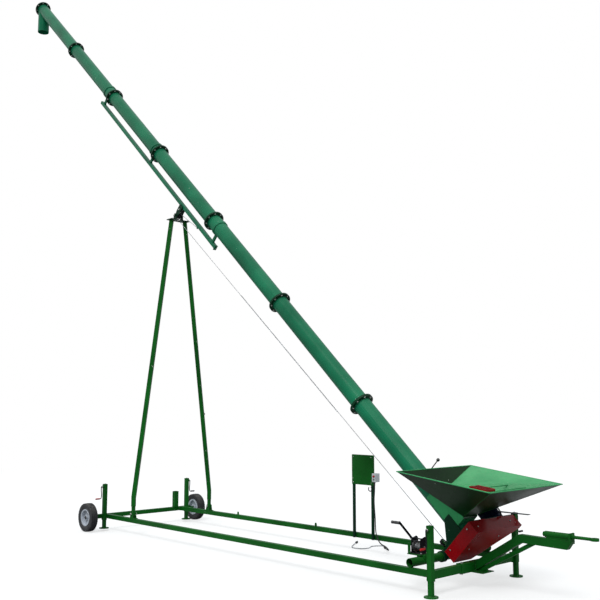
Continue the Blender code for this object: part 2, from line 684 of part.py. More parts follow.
def build_tube():
    for i in range(SECTIONS + 1):
        low = TUBE_FOOT if i == 0 else FIRST_FLANGE + (i - 1) * FLANGE_PITCH + GAP / 2
        high = FIRST_FLANGE + i * FLANGE_PITCH - GAP / 2
        profile = [] if i == 0 else [(FLANGE_RADIUS, -low), (FLANGE_RADIUS, -low - FLANGE_THICKNESS)]
        profile += [
            (TUBE_RADIUS, -low - (0 if i == 0 else FLANGE_THICKNESS)),
            (TUBE_RADIUS, FLANGE_THICKNESS - high),
            (FLANGE_RADIUS, FLANGE_THICKNESS - high),
            (FLANGE_RADIUS, -high),
            (TUBE_BORE, -high),
            (TUBE_BORE, -low),
        ]
        cuts = []
        if i == 0:
            cuts.append(
                between((-OUTLET_HIGH + 0.02, -0.092, 0.02), (-OUTLET_LOW - 0.02, 0.092, 0.20))
            )
        if i == SECTIONS:
            cuts.append(cylinder(TUBE_BORE - 0.010, SPOUT_DROP, down_from(SPOUT_UP, SPOUT_DROP / 2), DOWN))
        name = "inlet_tube" if i == 0 else f"tube_section_{i}"
        part(name, GREEN, [turned(profile, (0, 0, 0), "X")], cuts, SLOPE)


def build_head():
    face = LAST_FLANGE + GAP / 2
    bore = around(SHAFT_RADIUS, 16)
    cover = turned(
        [
            (FLANGE_RADIUS, -face),
            (FLANGE_RADIUS, -face - HEAD_PLATE),
            (0.060, -face - HEAD_PLATE),
            (0.045, -face - HEAD_PLATE - HEAD_BEARING),
            (bore, -face - HEAD_PLATE - HEAD_BEARING),
            (bore, -face),
        ],
        (0, 0, 0),
        "X",
    )
    part("head_plate", DARK_GREEN, [cover], parent=SLOPE)
    spout = ring(TUBE_RADIUS, TUBE_BORE, SPOUT_DROP, down_from(SPOUT_UP, SPOUT_DROP / 2), DOWN)
    saddle = drum_cut(TUBE_RADIUS + GAP, 1.2, (-SPOUT_UP, 0, 0))
    part("spout", GREEN, [spout], [saddle], SLOPE)


def build_screw():
    turn = axis_empty("screw_axis", (0, 0, 0), parent=SLOPE)
    low, high = BELT_CENTRE - 0.045, LAST_FLANGE + HEAD_PLATE + HEAD_BEARING + 0.02
    shaft = ring(SHAFT_RADIUS, SHAFT_RADIUS - SHAFT_WALL, high - low, (-(low + high) / 2, 0, 0), "X", 16)
    part("screw_shaft", STEEL, [shaft], parent=turn)
    start, stop = 0.600, LAST_FLANGE - 0.07
    turns = int((stop - start) / SCREW_PITCH)
    inner = around(SHAFT_RADIUS, FLIGHT_STEPS) + 0.0006
    mesh = bpy.data.meshes.new("flight")
    mesh.from_pydata([(inner, 0, 0), (SCREW_RADIUS, 0, 0)], [(0, 1)], [])
    flight = tool(mesh, (-start, 0, 0), (0, -math.pi / 2, 0))
    sweep = flight.modifiers.new("sweep", "SCREW")
    sweep.steps = sweep.render_steps = FLIGHT_STEPS
    sweep.screw_offset = SCREW_PITCH
    sweep.iterations = turns
    sheet = flight.modifiers.new("sheet", "SOLIDIFY")
    sheet.thickness = 0.005
    sheet.offset = 0
    part("screw_flight", STEEL, [flight], parent=turn)
    wheel = turned(
        [
            (SHAFT_PULLEY_RADIUS, BELT_WIDTH / 2),
            (SHAFT_PULLEY_RADIUS, -BELT_WIDTH / 2),
            (SHAFT_PULLEY_RADIUS - 0.018, -BELT_WIDTH / 2),
            (SHAFT_PULLEY_RADIUS - 0.022, -0.005),
            (0.044, -0.005),
            (0.040, -0.028),
            (SHAFT_RADIUS + GAP, -0.028),
            (SHAFT_RADIUS + GAP, 0.020),
            (0.040, 0.020),
            (0.044, 0.005),
            (SHAFT_PULLEY_RADIUS - 0.022, 0.005),
            (SHAFT_PULLEY_RADIUS - 0.018, BELT_WIDTH / 2),
        ],
        (-BELT_CENTRE, 0, 0),
        "X",
    )
    part("screw_pulley", BLACK, [wheel], parent=turn)


def belt_loop(grow):
    """The belt's outline round both pulleys, in (across, above) of the tube's frame."""
    big, small = SHAFT_PULLEY_RADIUS + grow, MOTOR_PULLEY_RADIUS + grow
    span = math.hypot(MOTOR_Y, MOTOR_RISE)
    lean = math.degrees(math.atan2(MOTOR_RISE, MOTOR_Y))
    wrap = math.degrees(math.acos((big - small) / span))
    loop = arc((0, 0), big, lean + wrap, lean + 360 - wrap, 24)
    return loop + arc((MOTOR_Y, MOTOR_RISE), small, lean - wrap, lean + wrap, 10)


def build_drive():
    motor = axis_empty("motor_axis", (0, MOTOR_Y, MOTOR_RISE), parent=SLOPE)
    turn = (math.pi / 2, 0, math.pi / 2)
    inside = belt_loop(0.0008)
    outside = belt_loop(BELT_THICKNESS)
    band = plate(outside, BELT_WIDTH - 0.006, (-BELT_CENTRE, 0, 0), turn, [inside])
    part("drive_belt", BELT, [band], parent=SLOPE)
    stub_end = DRIVE_PLATE + DRIVE_PLATE_THICKNESS
    stub_start = BELT_CENTRE - 0.020
    stub = cylinder(0.014, stub_end - stub_start, (-(stub_end + stub_start) / 2, 0, 0), "X", 16)
    wheel = cylinder(MOTOR_PULLEY_RADIUS, BELT_WIDTH, (-BELT_CENTRE, 0, 0), "X", 24)
    part("motor_pulley", BLACK, [stub, wheel], parent=motor)
    low, high = DRIVE_PLATE, DRIVE_PLATE + DRIVE_PLATE_THICKNESS
    sheet = plate(GUARD_OUTLINE, DRIVE_PLATE_THICKNESS, (-(low + high) / 2, 0, 0), turn)
    bearing = ring(0.045, around(SHAFT_RADIUS, 16), 0.026, (-low + 0.012, 0, 0), "X", 24)
    arms, eyes = [], []
    for sign in (-1, 1):
        y = sign * 0.1310
        shape = [
            (-PIVOT_UP - 0.030, PIVOT_BELOW),
            (-PIVOT_UP - 0.048, PIVOT_BELOW + 0.125),
            (-0.800, -0.020),
            (-0.800, 0.060),
            (-low - 0.001, 0.060),
            (-low - 0.001, -0.120),
            (-low - 0.001, PIVOT_BELOW),
        ]
        arms.append(plate(shape, 0.010, (0, y, 0), (math.pi / 2, 0, 0)))
        eyes.append(cylinder(PIVOT_RADIUS + 0.014, 0.050, (-PIVOT_UP, sign * 0.150, PIVOT_BELOW), "Y", 28))
    cuts = [
        cylinder(around(PIVOT_RADIUS), 0.5, (-PIVOT_UP, 0, PIVOT_BELOW), "Y"),
        cylinder(around(SHAFT_RADIUS, 16), 0.10, (-low, 0, 0), "X", 16),
        cylinder(around(0.014, 16) + 0.004, 0.10, (-low, MOTOR_Y, MOTOR_RISE), "X", 16),
    ]
    part("drive_frame", DARK_GREEN, [sheet, bearing, *arms, *eyes], cuts, SLOPE)
    start = high + GAP
    bell = turned(
        [
            (0, -start),
            (MOTOR_RADIUS * 0.86, -start),
            (MOTOR_RADIUS, -start - 0.02),
            (MOTOR_RADIUS, -start - MOTOR_LENGTH + 0.05),
            (MOTOR_RADIUS * 0.9, -start - MOTOR_LENGTH),
            (0, -start - MOTOR_LENGTH),
        ],
        (0, 0, 0),
        "X",
        24,
        closed=False,
    )
    wiring = box((0.11, 0.10, 0.06), (-start - 0.16, 0, MOTOR_RADIUS + 0.015))
    socket = cylinder(around(0.014, 16), 0.05, (-start, 0, 0), "X", 16)
    part("motor", BLUE, [bell, wiring], [socket], motor)


def build_guard():
    turn = (math.pi / 2, 0, math.pi / 2)
    t = 0.003
    (left, low), (knee, _), (right, chin), (_, top), _ = GUARD_OUTLINE
    inner = [
        (left + t, low + t),
        (knee - 0.4 * t, low + t),
        (right - t, chin + 0.5 * t),
        (right - t, top - t),
        (left + t, top - t),
    ]
    middle = -GUARD_BACK + GUARD_DEPTH / 2
    shell = plate(GUARD_OUTLINE, GUARD_DEPTH, (middle, 0, 0), turn)
    hollow = plate(inner, GUARD_DEPTH, (middle - t, 0, 0), turn)
    part("belt_guard", RED, [shell], [hollow], SLOPE)


# ---------------------------------------------------------------- hopper, boot and gate
def build_hopper():
    half_l, half_w = RIM_LENGTH / 2, RIM_WIDTH / 2
    rows = []
    corners = ((-1, -1), (1, -1), (1, 1), (-1, 1))
    rim = []
    for i, j in corners:
        offset = Vector((i * half_l * math.cos(RIM_TILT), j * half_w, -i * half_l * math.sin(RIM_TILT)))
        rim.append(RIM_CENTRE + offset - PIVOT)
    rows.append(rim)
    for rise in (OUTLET_RISE + 0.020, OUTLET_RISE):
        ends = {-1: OUTLET_HIGH, 1: OUTLET_LOW}
        rows.append([on_tube(ends[i], rise, j * OUTLET_HALF_WIDTH) - PIVOT for i, j in corners])
    points = [point for row in rows for point in row]
    faces = []
    for r in range(len(rows) - 1):
        for c in range(4):
            n = (c + 1) % 4
            faces.append((4 * r + c, 4 * r + 4 + c, 4 * r + 4 + n, 4 * r + n))
    mesh = bpy.data.meshes.new("hopper")
    mesh.from_pydata(points, [], faces)
    shell = tool(mesh, (0, 0, 0), (0, 0, 0))
    sheet = shell.modifiers.new("sheet", "SOLIDIFY")
    sheet.thickness = HOPPER_SHEET
    sheet.offset = -1
    part("hopper", GREEN, [shell], parent=LIFT)


def build_boot():
    wall_in = OUTLET_HALF_WIDTH + GAP
    low, high = OUTLET_LOW - 0.010, OUTLET_HIGH + 0.010
    wall_out = wall_in + BOOT_WALL
    outer = between(
        (-high - BOOT_WALL, -wall_out, -0.030),
        (-low + BOOT_WALL, wall_out, OUTLET_RISE + 0.016),
    )
    hollow = between((-high, -wall_in, -0.10), (-low, wall_in, 0.30))
    over = OUTLET_RISE - 0.007
    slot = between((-high - 0.1, -wall_in, over), (-low + 0.1, wall_in, 0.30))
    bore = drum_cut(TUBE_RADIUS + GAP, 1.2, (-(low + high) / 2, 0, 0))
    part("inlet_boot", GREEN, [outer], [hollow, slot, bore], SLOPE)
    slide = axis_empty("gate_slide", (0, 0, 0), parent=SLOPE)
    base = over + GAP
    blade_half = wall_in - 0.0015
    blade = between((-high - 0.030, -blade_half, base), (-low + 0.001, blade_half, base + GATE_THICKNESS))
    stem_start = high - 0.01
    stem_at = (-(GATE_HANDLE + stem_start) / 2, 0, base + 0.0065)
    stem = cylinder(0.006, GATE_HANDLE - stem_start, stem_at, "X", 12)
    upright = cylinder(0.006, 0.150, (-GATE_HANDLE, 0, base + 0.075), "Z", 12)
    knob = turned(
        [(0, 0.022), (0.010, 0.020), (0.018, 0.010), (0.019, 0), (0.014, -0.012), (0, -0.014)],
        (-GATE_HANDLE, 0, base + 0.160),
        "Z",
        16,
        closed=False,
    )
    part("gate", STEEL, [blade, stem, upright, knob], parent=slide)


# ---------------------------------------------------------------- guide rail, A-frame and ropes
def build_guide_rail():
    length = GUIDE_HIGH - GUIDE_LOW
    middle = -(GUIDE_HIGH + GUIDE_LOW) / 2
    rail = square_tube(length, GUIDE_SIDE, GUIDE_SIDE, 0.004, (middle, 0, -GUIDE_DEPTH))
    pieces, bores = [rail], []
    top = -GUIDE_DEPTH + GUIDE_SIDE / 2
    for up in STRUTS:
        pieces.append(between((-up - 0.020, -0.015, top - 0.002), (-up + 0.020, 0.015, -TUBE_RADIUS - 0.006)))
        pieces.append(cylinder(TUBE_RADIUS + 0.012, 0.050, (-up, 0, 0), "X"))
        bores.append(drum_cut(TUBE_RADIUS + GAP, 0.10, (-up, 0, 0)))
    under = -GUIDE_DEPTH - GUIDE_SIDE / 2
    lug = plate(
        [(-0.025, 0.004), (-0.025, -0.010)]
        + arc((0, -ROPE_LUG_DROP), 0.016, 180, 360, 8)
        + [(0.025, -0.010), (0.025, 0.004)],
        0.006,
        (-ROPE_ANCHOR, 0, under),
        (math.pi / 2, 0, 0),
    )
    bores.append(cylinder(0.006, 0.05, (-ROPE_ANCHOR, 0, under - ROPE_LUG_DROP), "Y", 12))
    stop = box((0.012, GUIDE_SIDE, 0.075), (-GUIDE_LOW + 0.005, 0, -GUIDE_DEPTH - 0.008))
    bores.append(cylinder(0.008, 0.05, (-GUIDE_LOW, 0, -GUIDE_DEPTH), "X", 12))
    part("guide_rail", GREEN, [*pieces, lug, stop], bores, SLOPE)


def aim(start, end, roll=0.0):
    """Place and turn of a bar whose own X runs from start to end."""
    turn = (end - start).to_track_quat("X", "Z") @ Euler((roll, 0, 0)).to_quaternion()
    return (start + end) / 2, turn.to_euler()


APEX = Vector((APEX_X, 0, RAIL_Z + APEX_RISE))
YOKE_PLATE = -0.083


def build_a_frame():
    base = Vector((BRACKET_X, 0, RAIL_Z + BRACKET_RISE))
    hinge = axis_empty("a_frame_axis", base, parent=ORIGIN)
    apex = APEX - base
    for side, sign in SIDES_OF_FRAME:
        foot = Vector((0, sign * RAIL_HALF_SPACING, 0.230))
        lean = math.atan2(RAIL_HALF_SPACING - LEG_HALF_SPACING_TOP, apex.z + YOKE_PLATE - foot.z)
        corner = LEG_SIDE / math.sqrt(2) * math.sin(lean)
        head = Vector((apex.x, sign * LEG_HALF_SPACING_TOP, apex.z + YOKE_PLATE - corner - GAP))
        place, turn = aim(foot, head, math.pi / 4)
        leg = square_tube((head - foot).length, LEG_SIDE, LEG_SIDE, 0.004, place, turn)
        plug = box((LEG_SIDE - 0.002, LEG_SIDE - 0.002, 0.150), (0, foot.y, 0.180), (0, 0, math.pi / 4))
        stub = between((-0.020, foot.y - 0.0212, -0.024), (0.020, foot.y + 0.0212, 0.110))
        pin_hole = cylinder(around(0.010), 0.10, (0, foot.y, 0))
        part(f"a_frame_leg_{side}", GREEN, [leg, plug, stub], [pin_hole], hinge)
    plate_z = apex.z + YOKE_PLATE
    cross = between((apex.x - 0.065, -0.175, plate_z), (apex.x + 0.065, 0.175, plate_z + 0.012))
    pieces = [cross]
    for sign in (-1, 1):
        outline = [(-0.040, YOKE_PLATE + 0.010), (0.040, YOKE_PLATE + 0.010)] + arc((0, 0), 0.032, 0, 180, 8)
        pieces.append(plate(outline, 0.010, (apex.x, sign * 0.062, apex.z), (math.pi / 2, 0, 0)))
    pieces.append(cylinder(0.0125, 0.160, apex, "Y", 20))
    slot = between((apex.x - 0.045, -0.020, plate_z - 0.01), (apex.x + 0.08, 0.020, plate_z + 0.02))
    part("top_yoke", DARK_GREEN, pieces, [slot], hinge)
    pulley_axis = axis_empty("top_pulley_axis", apex, parent=hinge)
    profile = grooved(TOP_PULLEY_RADIUS, GROOVE_DEPTH, 0.018, around(0.0125, 20))
    part("top_pulley", BLACK, [turned(profile, (0, 0, 0), "Y", 28)], parent=pulley_axis)
    carriage = axis_empty("carriage_axis", apex, (0, TUBE_SLOPE, 0), hinge)
    apex_below = (APEX - TUBE_ORIGIN).dot(SQUARE)
    under = -GUIDE_DEPTH - GUIDE_SIDE / 2 - apex_below
    roller_at = under - ROLLER_CLEARANCE - ROLLER_RADIUS
    top = under + 0.028
    outline = [(-0.045, top), (-0.045, 0.050), *arc((0, 0), 0.030, 180, 360, 8), (0.045, 0.050), (0.045, top)]
    half = GUIDE_SIDE / 2 + 0.013
    pieces = [plate(outline, 0.008, (0, sign * half, 0), (math.pi / 2, 0, 0)) for sign in (-1, 1)]
    pieces.append(cylinder(0.008, 2 * half + 0.012, (0, 0, roller_at), "Y", 16))
    pieces.append(between((-0.045, -half, 0.055), (-0.039, half, under - ROLLER_CLEARANCE - 0.004)))
    bore = cylinder(around(0.0125, 20), 0.2, (0, 0, 0), "Y", 20)
    part("carriage_frame", DARK_GREEN, pieces, [bore], carriage)
    spin = axis_empty("carriage_roller_axis", (0, 0, roller_at), parent=carriage)
    roller = ring(ROLLER_RADIUS, around(0.008, 16), 2 * half - 0.012, (0, 0, 0), "Y", 24)
    part("carriage_roller", BLACK, [roller], parent=spin)


def straight_rope(name, start, end, parent, home):
    place, turn = aim(start, end)
    length = (end - start).length
    bar = round_bar([(-length / 2, 0, 0), (length / 2, 0, 0)], ROPE_RADIUS)
    bar.location, bar.rotation_euler = place - home, turn
    part(name, ROPE, [bar], parent=parent)


def build_ropes():
    low = Vector((SHEAVE.x, 0, SHEAVE.z))
    lean = math.atan2(APEX.z - low.z, low.x - APEX.x)
    groove = TOP_PULLEY_RADIUS + ROPE_SEAT
    high = APEX + Vector((-math.sin(lean), 0, -math.cos(lean))) * groove
    along = (high - low).normalized()
    side = Vector((0, ROPE_SIDE, 0))
    low_empty = axis_empty("rope_low_axis", low, parent=ORIGIN)
    high_empty = axis_empty("rope_high_axis", APEX, parent=ORIGIN)
    straight_rope("rope_low", low + side + along * ROPE_START, low + side + along * ROPE_RUN, low_empty, low)
    straight_rope("rope_high", high - side, high - side - along * ROPE_RUN, high_empty, APEX)
    beside = Vector((0, 0.0075, 0))
    anchor = on_tube(ROPE_ANCHOR, -GUIDE_DEPTH - GUIDE_SIDE / 2 - ROPE_LUG_DROP)
    fall = math.atan2(APEX.z - anchor.z, anchor.x - APEX.x)
    over = APEX + Vector((math.sin(fall), 0, math.cos(fall))) * groove
    carried = axis_empty("rope_short_end", APEX, parent=ORIGIN)
    straight_rope("rope_short", over + beside, anchor + beside, carried, APEX)
    toward_winch = Vector((-math.sin(SHEAVE_LEAN), 0, -math.cos(SHEAVE_LEAN)))
    tail_start = SHEAVE + toward_winch * (LOW_SHEAVE_RADIUS + ROPE_SEAT)
    tail_end = WINCH + Vector((0.010, 0.030, DRUM_RADIUS + ROPE_RADIUS + 0.002))
    straight_rope("rope_tail", tail_start, tail_end, ORIGIN, Vector((0, 0, 0)))


# ---------------------------------------------------------------- control panel and cables
def build_panel():
    face = RAIL_HALF_SPACING - RAIL_SIDE / 2 - GAP
    low = RAIL_Z + PANEL_LOW
    legs = []
    for x in (PANEL_LOW_X + 0.020, PANEL_HIGH_X - 0.020):
        legs.append(between((x - 0.015, face - 0.030, RAIL_Z - 0.030), (x + 0.015, face, low + 0.01)))
    board = between((PANEL_LOW_X, face - 0.024, low), (PANEL_HIGH_X, face + 0.012, RAIL_Z + PANEL_HIGH))
    side = between(
        (PANEL_HIGH_X - 0.002, face - 0.055, RAIL_Z + 0.69),
        (PANEL_HIGH_X + 0.070, face + 0.020, RAIL_Z + 0.80),
    )
    part("control_panel", GREEN, [board, *legs, side], parent=ORIGIN)


def smooth(route, steps):
    """Points of a smooth curve through the route's own points."""
    ends = [2 * route[0] - route[1], *route, 2 * route[-1] - route[-2]]
    found = [route[0]]
    for a, b, c, d in zip(ends, ends[1:], ends[2:], ends[3:]):
        for i in range(1, steps + 1):
            t = i / steps
            curve = (2 * a - 5 * b + 4 * c - d) * t * t + (3 * b - a - 3 * c + d) * t**3
            found.append(0.5 * (2 * b + (c - a) * t + curve))
    return found


def cord(name, route, radius, steps, look):
    curve = bpy.data.curves.new(name, "CURVE")
    curve.dimensions = "3D"
    curve.bevel_depth = radius
    curve.bevel_resolution = 2
    curve.use_fill_caps = True
    points = smooth([Vector(point) for point in route], steps)
    spline = curve.splines.new("POLY")
    spline.points.add(len(points) - 1)
    for target, point in zip(spline.points, points):
        target.co = (*point, 1)
    piece = bpy.data.objects.new(name, curve)
    PARTS.objects.link(piece)
    curve.materials.append(bpy.data.materials.get(look[0]) or finish(*look))
    piece.parent = ORIGIN


CABLE_RADIUS = 0.007
LEAD_RADIUS = 0.006


def build_cables():
    inner = RAIL_HALF_SPACING - RAIL_SIDE / 2
    lead_z = LEAD_RADIUS + 0.001
    x = PANEL_HIGH_X + 0.035
    y = inner - 0.040
    cable = [
        (x, y, RAIL_Z + 0.690 - GAP),
        (x, y, RAIL_Z + 0.600),
        (x - 0.010, y, RAIL_Z + 0.450),
        (x + 0.004, y, RAIL_Z + 0.250),
        (x + 0.010, y + 0.004, RAIL_Z + 0.080),
        (x + 0.030, y + 0.020, RAIL_Z - 0.010),
        (x + 0.060, y + 0.040, RAIL_Z - 0.065),
        (x + 0.070, y + 0.120, RAIL_Z - 0.110),
        (x + 0.020, y + 0.230, RAIL_Z - 0.165),
        (x - 0.080, y + 0.330, 0.020),
        (x - 0.170, y + 0.400, CABLE_RADIUS + 0.008),
        (x - 0.215, y + 0.440, CABLE_RADIUS + 0.008),
    ]
    cord("panel_cable", cable, CABLE_RADIUS, 3, BLACK)
    end = Vector(cable[-1])
    heading = (end - Vector(cable[-2])).normalized()
    body = end + heading * (0.035 + GAP)
    place, turn = aim(body - heading * 0.035, body + heading * 0.035)
    flat = (0, math.pi / 2, math.atan2(heading.y, heading.x))
    part("lead_socket", BLACK, [cylinder(0.015, 0.070, place, flat, 16)], parent=ORIGIN)
    tip = body + heading * (0.035 + GAP)
    lead = [
        tip,
        tip + heading * 0.035,
        tip + heading * 0.090 + Vector((0, 0, (lead_z - tip.z) * 0.7)),
        tip + Vector((-0.120, 0.090, lead_z - tip.z)),
        tip + Vector((-0.150, 0.060, lead_z - tip.z)),
        tip + Vector((-0.190, -0.040, lead_z - tip.z)),
        tip + Vector((-0.130, -0.160, lead_z - tip.z)),
        tip + Vector((-0.160, -0.280, lead_z - tip.z)),
        tip + Vector((-0.290, -0.300, lead_z - tip.z)),
        tip + Vector((-0.390, -0.200, lead_z - tip.z)),
        tip + Vector((-0.460, -0.080, 0.013 - tip.z)),
        tip + Vector((-0.500, -0.010, 0.015 - tip.z)),
    ]
    cord("ground_lead", lead, LEAD_RADIUS, 3, GREY)
    heading = (lead[-1] - lead[-2]).normalized()
    body = lead[-1] + heading * (0.032 + GAP)
    flat = (0, math.pi / 2, math.atan2(heading.y, heading.x))
    part("lead_plug", BLACK, [cylinder(0.0148, 0.064, body, flat, 16)], parent=ORIGIN)


def main():
    build_rails()
    build_axle_beam()
    build_rear_member()
    for side, sign in SIDES_OF_FRAME:
        build_jack(f"wheel_{side}", WHEEL_JACKS_X, sign, WHEEL_JACK_LIFT)
        build_jack(f"hitch_{side}", HITCH_JACKS_X, sign, 0.0)
    build_wheels()
    build_drawbar()
    build_pivot_tube()
    build_winch()
    build_tube()
    build_head()
    build_screw()
    build_drive()
    build_guard()
    build_hopper()
    build_boot()
    build_guide_rail()
    build_a_frame()
    build_ropes()
    build_panel()
    build_cables()


main()
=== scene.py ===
"""The looks of a portable grain auger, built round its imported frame.

It finishes every surface of the CAD pieces and adds what they leave plain: welds, bolts, tyres,
motor, ropes, cords and the other small work. Metres, +Z up. X runs along the frame to the tow
eye, and the winch is on the near (-Y) side."""

import json
import math

import bmesh
import bpy
from mathutils import Matrix, Vector


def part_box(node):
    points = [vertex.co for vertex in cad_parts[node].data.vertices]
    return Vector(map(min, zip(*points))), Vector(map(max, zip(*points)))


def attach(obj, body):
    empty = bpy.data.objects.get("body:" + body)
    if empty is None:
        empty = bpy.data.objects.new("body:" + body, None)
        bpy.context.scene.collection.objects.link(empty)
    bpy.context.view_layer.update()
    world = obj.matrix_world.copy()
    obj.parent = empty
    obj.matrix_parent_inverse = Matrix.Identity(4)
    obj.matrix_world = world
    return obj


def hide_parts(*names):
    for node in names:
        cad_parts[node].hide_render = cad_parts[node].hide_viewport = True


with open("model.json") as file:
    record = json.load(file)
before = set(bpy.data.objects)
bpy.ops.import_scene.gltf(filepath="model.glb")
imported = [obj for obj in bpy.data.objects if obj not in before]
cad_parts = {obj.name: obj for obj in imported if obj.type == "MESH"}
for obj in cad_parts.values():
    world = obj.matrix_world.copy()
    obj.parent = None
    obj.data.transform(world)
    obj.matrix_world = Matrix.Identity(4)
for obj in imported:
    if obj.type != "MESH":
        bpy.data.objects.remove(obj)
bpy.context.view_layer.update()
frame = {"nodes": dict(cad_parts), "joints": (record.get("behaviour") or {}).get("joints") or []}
CAD = frame["nodes"]
JOINTS = {joint["name"]: joint for joint in frame["joints"]}

# ---- sizes the pieces share
YARD = 1.675155  # to X = 0 from the zero of sizes along the frame, 10 mm outside the wheel-end cross-beam
RAIL_Z = JOINTS["near_wheel_spin"]["pos_m"][2]
RAIL_HALF = 0.686
RAIL_SIDE = 0.060
TUBE_RADIUS = 0.1095
TUBE_WALL = 0.004
FLANGE_RADIUS = 0.155
FLANGE_THICKNESS = 0.013
FIRST_FLANGE = 2.570
FLANGE_PITCH = 2.000
JOINTS_IN_TUBE = 7
STRUTS = (6.370, 8.700, 10.790)  # how far up the tube the guide rail is held
BOLT_RING = 0.133
ROPE_RADIUS = 0.004
POST_TOP = 0.475  # above the rails' centre line
CROSS_BEAM_FACES = (0.0705, 6.1875)
SQUARE = ((-1, -1), (1, -1), (1, 1), (-1, 1), (-1, -1))


def joint_at(name):
    return Vector(JOINTS[name]["pos_m"])


DOWN_TUBE = Vector(JOINTS["screw_spin"]["axis"]).normalized()
UP_TUBE = -DOWN_TUBE
OUT_OF_TUBE = Vector((UP_TUBE.z, 0, -UP_TUBE.x))
TUBE_FOOT = joint_at("screw_spin")
PIVOT = joint_at("lift")
APEX = joint_at("top_pulley_spin")
ACROSS = Vector((0, 1, 0))
UP = Vector((0, 0, 1))


def on_tube(up, rise=0.0, y=0.0):
    """The point this far up the tube's axis, this far above it and this far across."""
    return TUBE_FOOT + UP_TUBE * up + OUT_OF_TUBE * rise + ACROSS * y


def yard(x, y, z):
    """A point given along the frame, across it, and above the rails' centre line."""
    return Vector((x - YARD, y, RAIL_Z + z))


def facing(z_axis, x_axis, at):
    """A matrix that stands a shape's own Z along z_axis and its X as near x_axis as it can."""
    z_axis = Vector(z_axis).normalized()
    y_axis = z_axis.cross(Vector(x_axis)).normalized()
    x_axis = y_axis.cross(z_axis)
    turn = Matrix((x_axis, y_axis, z_axis)).transposed()
    return Matrix.Translation(at) @ turn.to_4x4()


# ---- camera
def set_camera():
    lens = bpy.data.cameras.new("camera")
    lens.lens = 50.43
    lens.sensor_width = 36
    camera = bpy.data.objects.new("camera", lens)
    forward = Vector((-0.7203, 0.6823, 0.1248)).normalized()
    right = forward.cross(UP).normalized()
    turn = Matrix((right, right.cross(forward), -forward)).transposed()
    camera.matrix_world = Matrix.Translation((9.848, -7.512, 1.8565)) @ turn.to_4x4()
    bpy.context.scene.collection.objects.link(camera)
    bpy.context.scene.camera = camera


# ---- wiring helpers for materials
class Board:
    """Adds and joins the nodes of one tree."""

    def __init__(self, tree):
        self.tree = tree

    def add(self, kind, into=None, **settings):
        node = self.tree.nodes.new(kind)
        for name, value in settings.items():
            setattr(node, name, value)
        for name, value in (into or {}).items():
            self.feed(node.inputs[name], value)
        return node

    def feed(self, socket, value):
        if isinstance(value, bpy.types.NodeSocket):
            self.tree.links.new(value, socket)
        elif isinstance(value, bpy.types.Node):
            self.tree.links.new(value.outputs[0], socket)
        else:
            socket.default_value = value

    def sum(self, operation, *values, clamp=False):
        node = self.add("ShaderNodeMath", operation=operation, use_clamp=clamp)
        for socket, value in zip(node.inputs, values):
            self.feed(socket, value)
        return node.outputs[0]

    def vector(self, operation, *values):
        node = self.add("ShaderNodeVectorMath", operation=operation)
        for socket, value in zip(node.inputs, values):
            self.feed(socket, value)
        return node

    def blend(self, share, a, b):
        node = self.add("ShaderNodeMix", data_type="RGBA")
        for name, value in (("Factor_Float", share), ("A_Color", a), ("B_Color", b)):
            self.feed(next(s for s in node.inputs if s.identifier == name), value)
        return next(s for s in node.outputs if s.identifier == "Result_Color")

    def steps(self, value, low, high, to_low=0.0, to_high=1.0):
        into = {"Value": value, "From Min": low, "From Max": high, "To Min": to_low, "To Max": to_high}
        return self.add("ShaderNodeMapRange", into).outputs["Result"]


def new_group(name, inputs, outputs):
    """An empty shader group with named inputs (name: default) and outputs (name: kind)."""
    group = bpy.data.node_groups.new(name, "ShaderNodeTree")
    for label, default in inputs.items():
        socket = group.interface.new_socket(label, in_out="INPUT", socket_type="NodeSocketFloat")
        socket.default_value = default
    for label in outputs:
        group.interface.new_socket(label, in_out="OUTPUT", socket_type="NodeSocketFloat")
    board = Board(group)
    return group, board, board.add("NodeGroupInput").outputs, board.add("NodeGroupOutput").inputs


def make_edge_wear():
    """Where paint is rubbed off corners: a ragged line along each sharp edge."""
    group, b, given, result = new_group(
        "edge_wear", {"Radius": 0.003, "Raggedness": 60.0, "Amount": 0.5}, ["Wear"]
    )
    rounded = b.add("ShaderNodeBevel", {"Radius": given["Radius"]}, samples=4)
    flat = b.add("ShaderNodeNewGeometry").outputs["Normal"]
    turned = b.vector("DOT_PRODUCT", rounded.outputs[0], flat).outputs["Value"]
    sharp = b.steps(turned, 0.995, 0.80)
    place = b.add("ShaderNodeTexCoord").outputs["Object"]
    noise = b.add("ShaderNodeTexNoise", {"Vector": place, "Scale": given["Raggedness"], "Detail": 5.0})
    torn = b.steps(noise.outputs["Fac"], 0.40, 0.68)
    b.feed(result["Wear"], b.sum("MULTIPLY", b.sum("MULTIPLY", sharp, torn), given["Amount"], clamp=True))
    return group


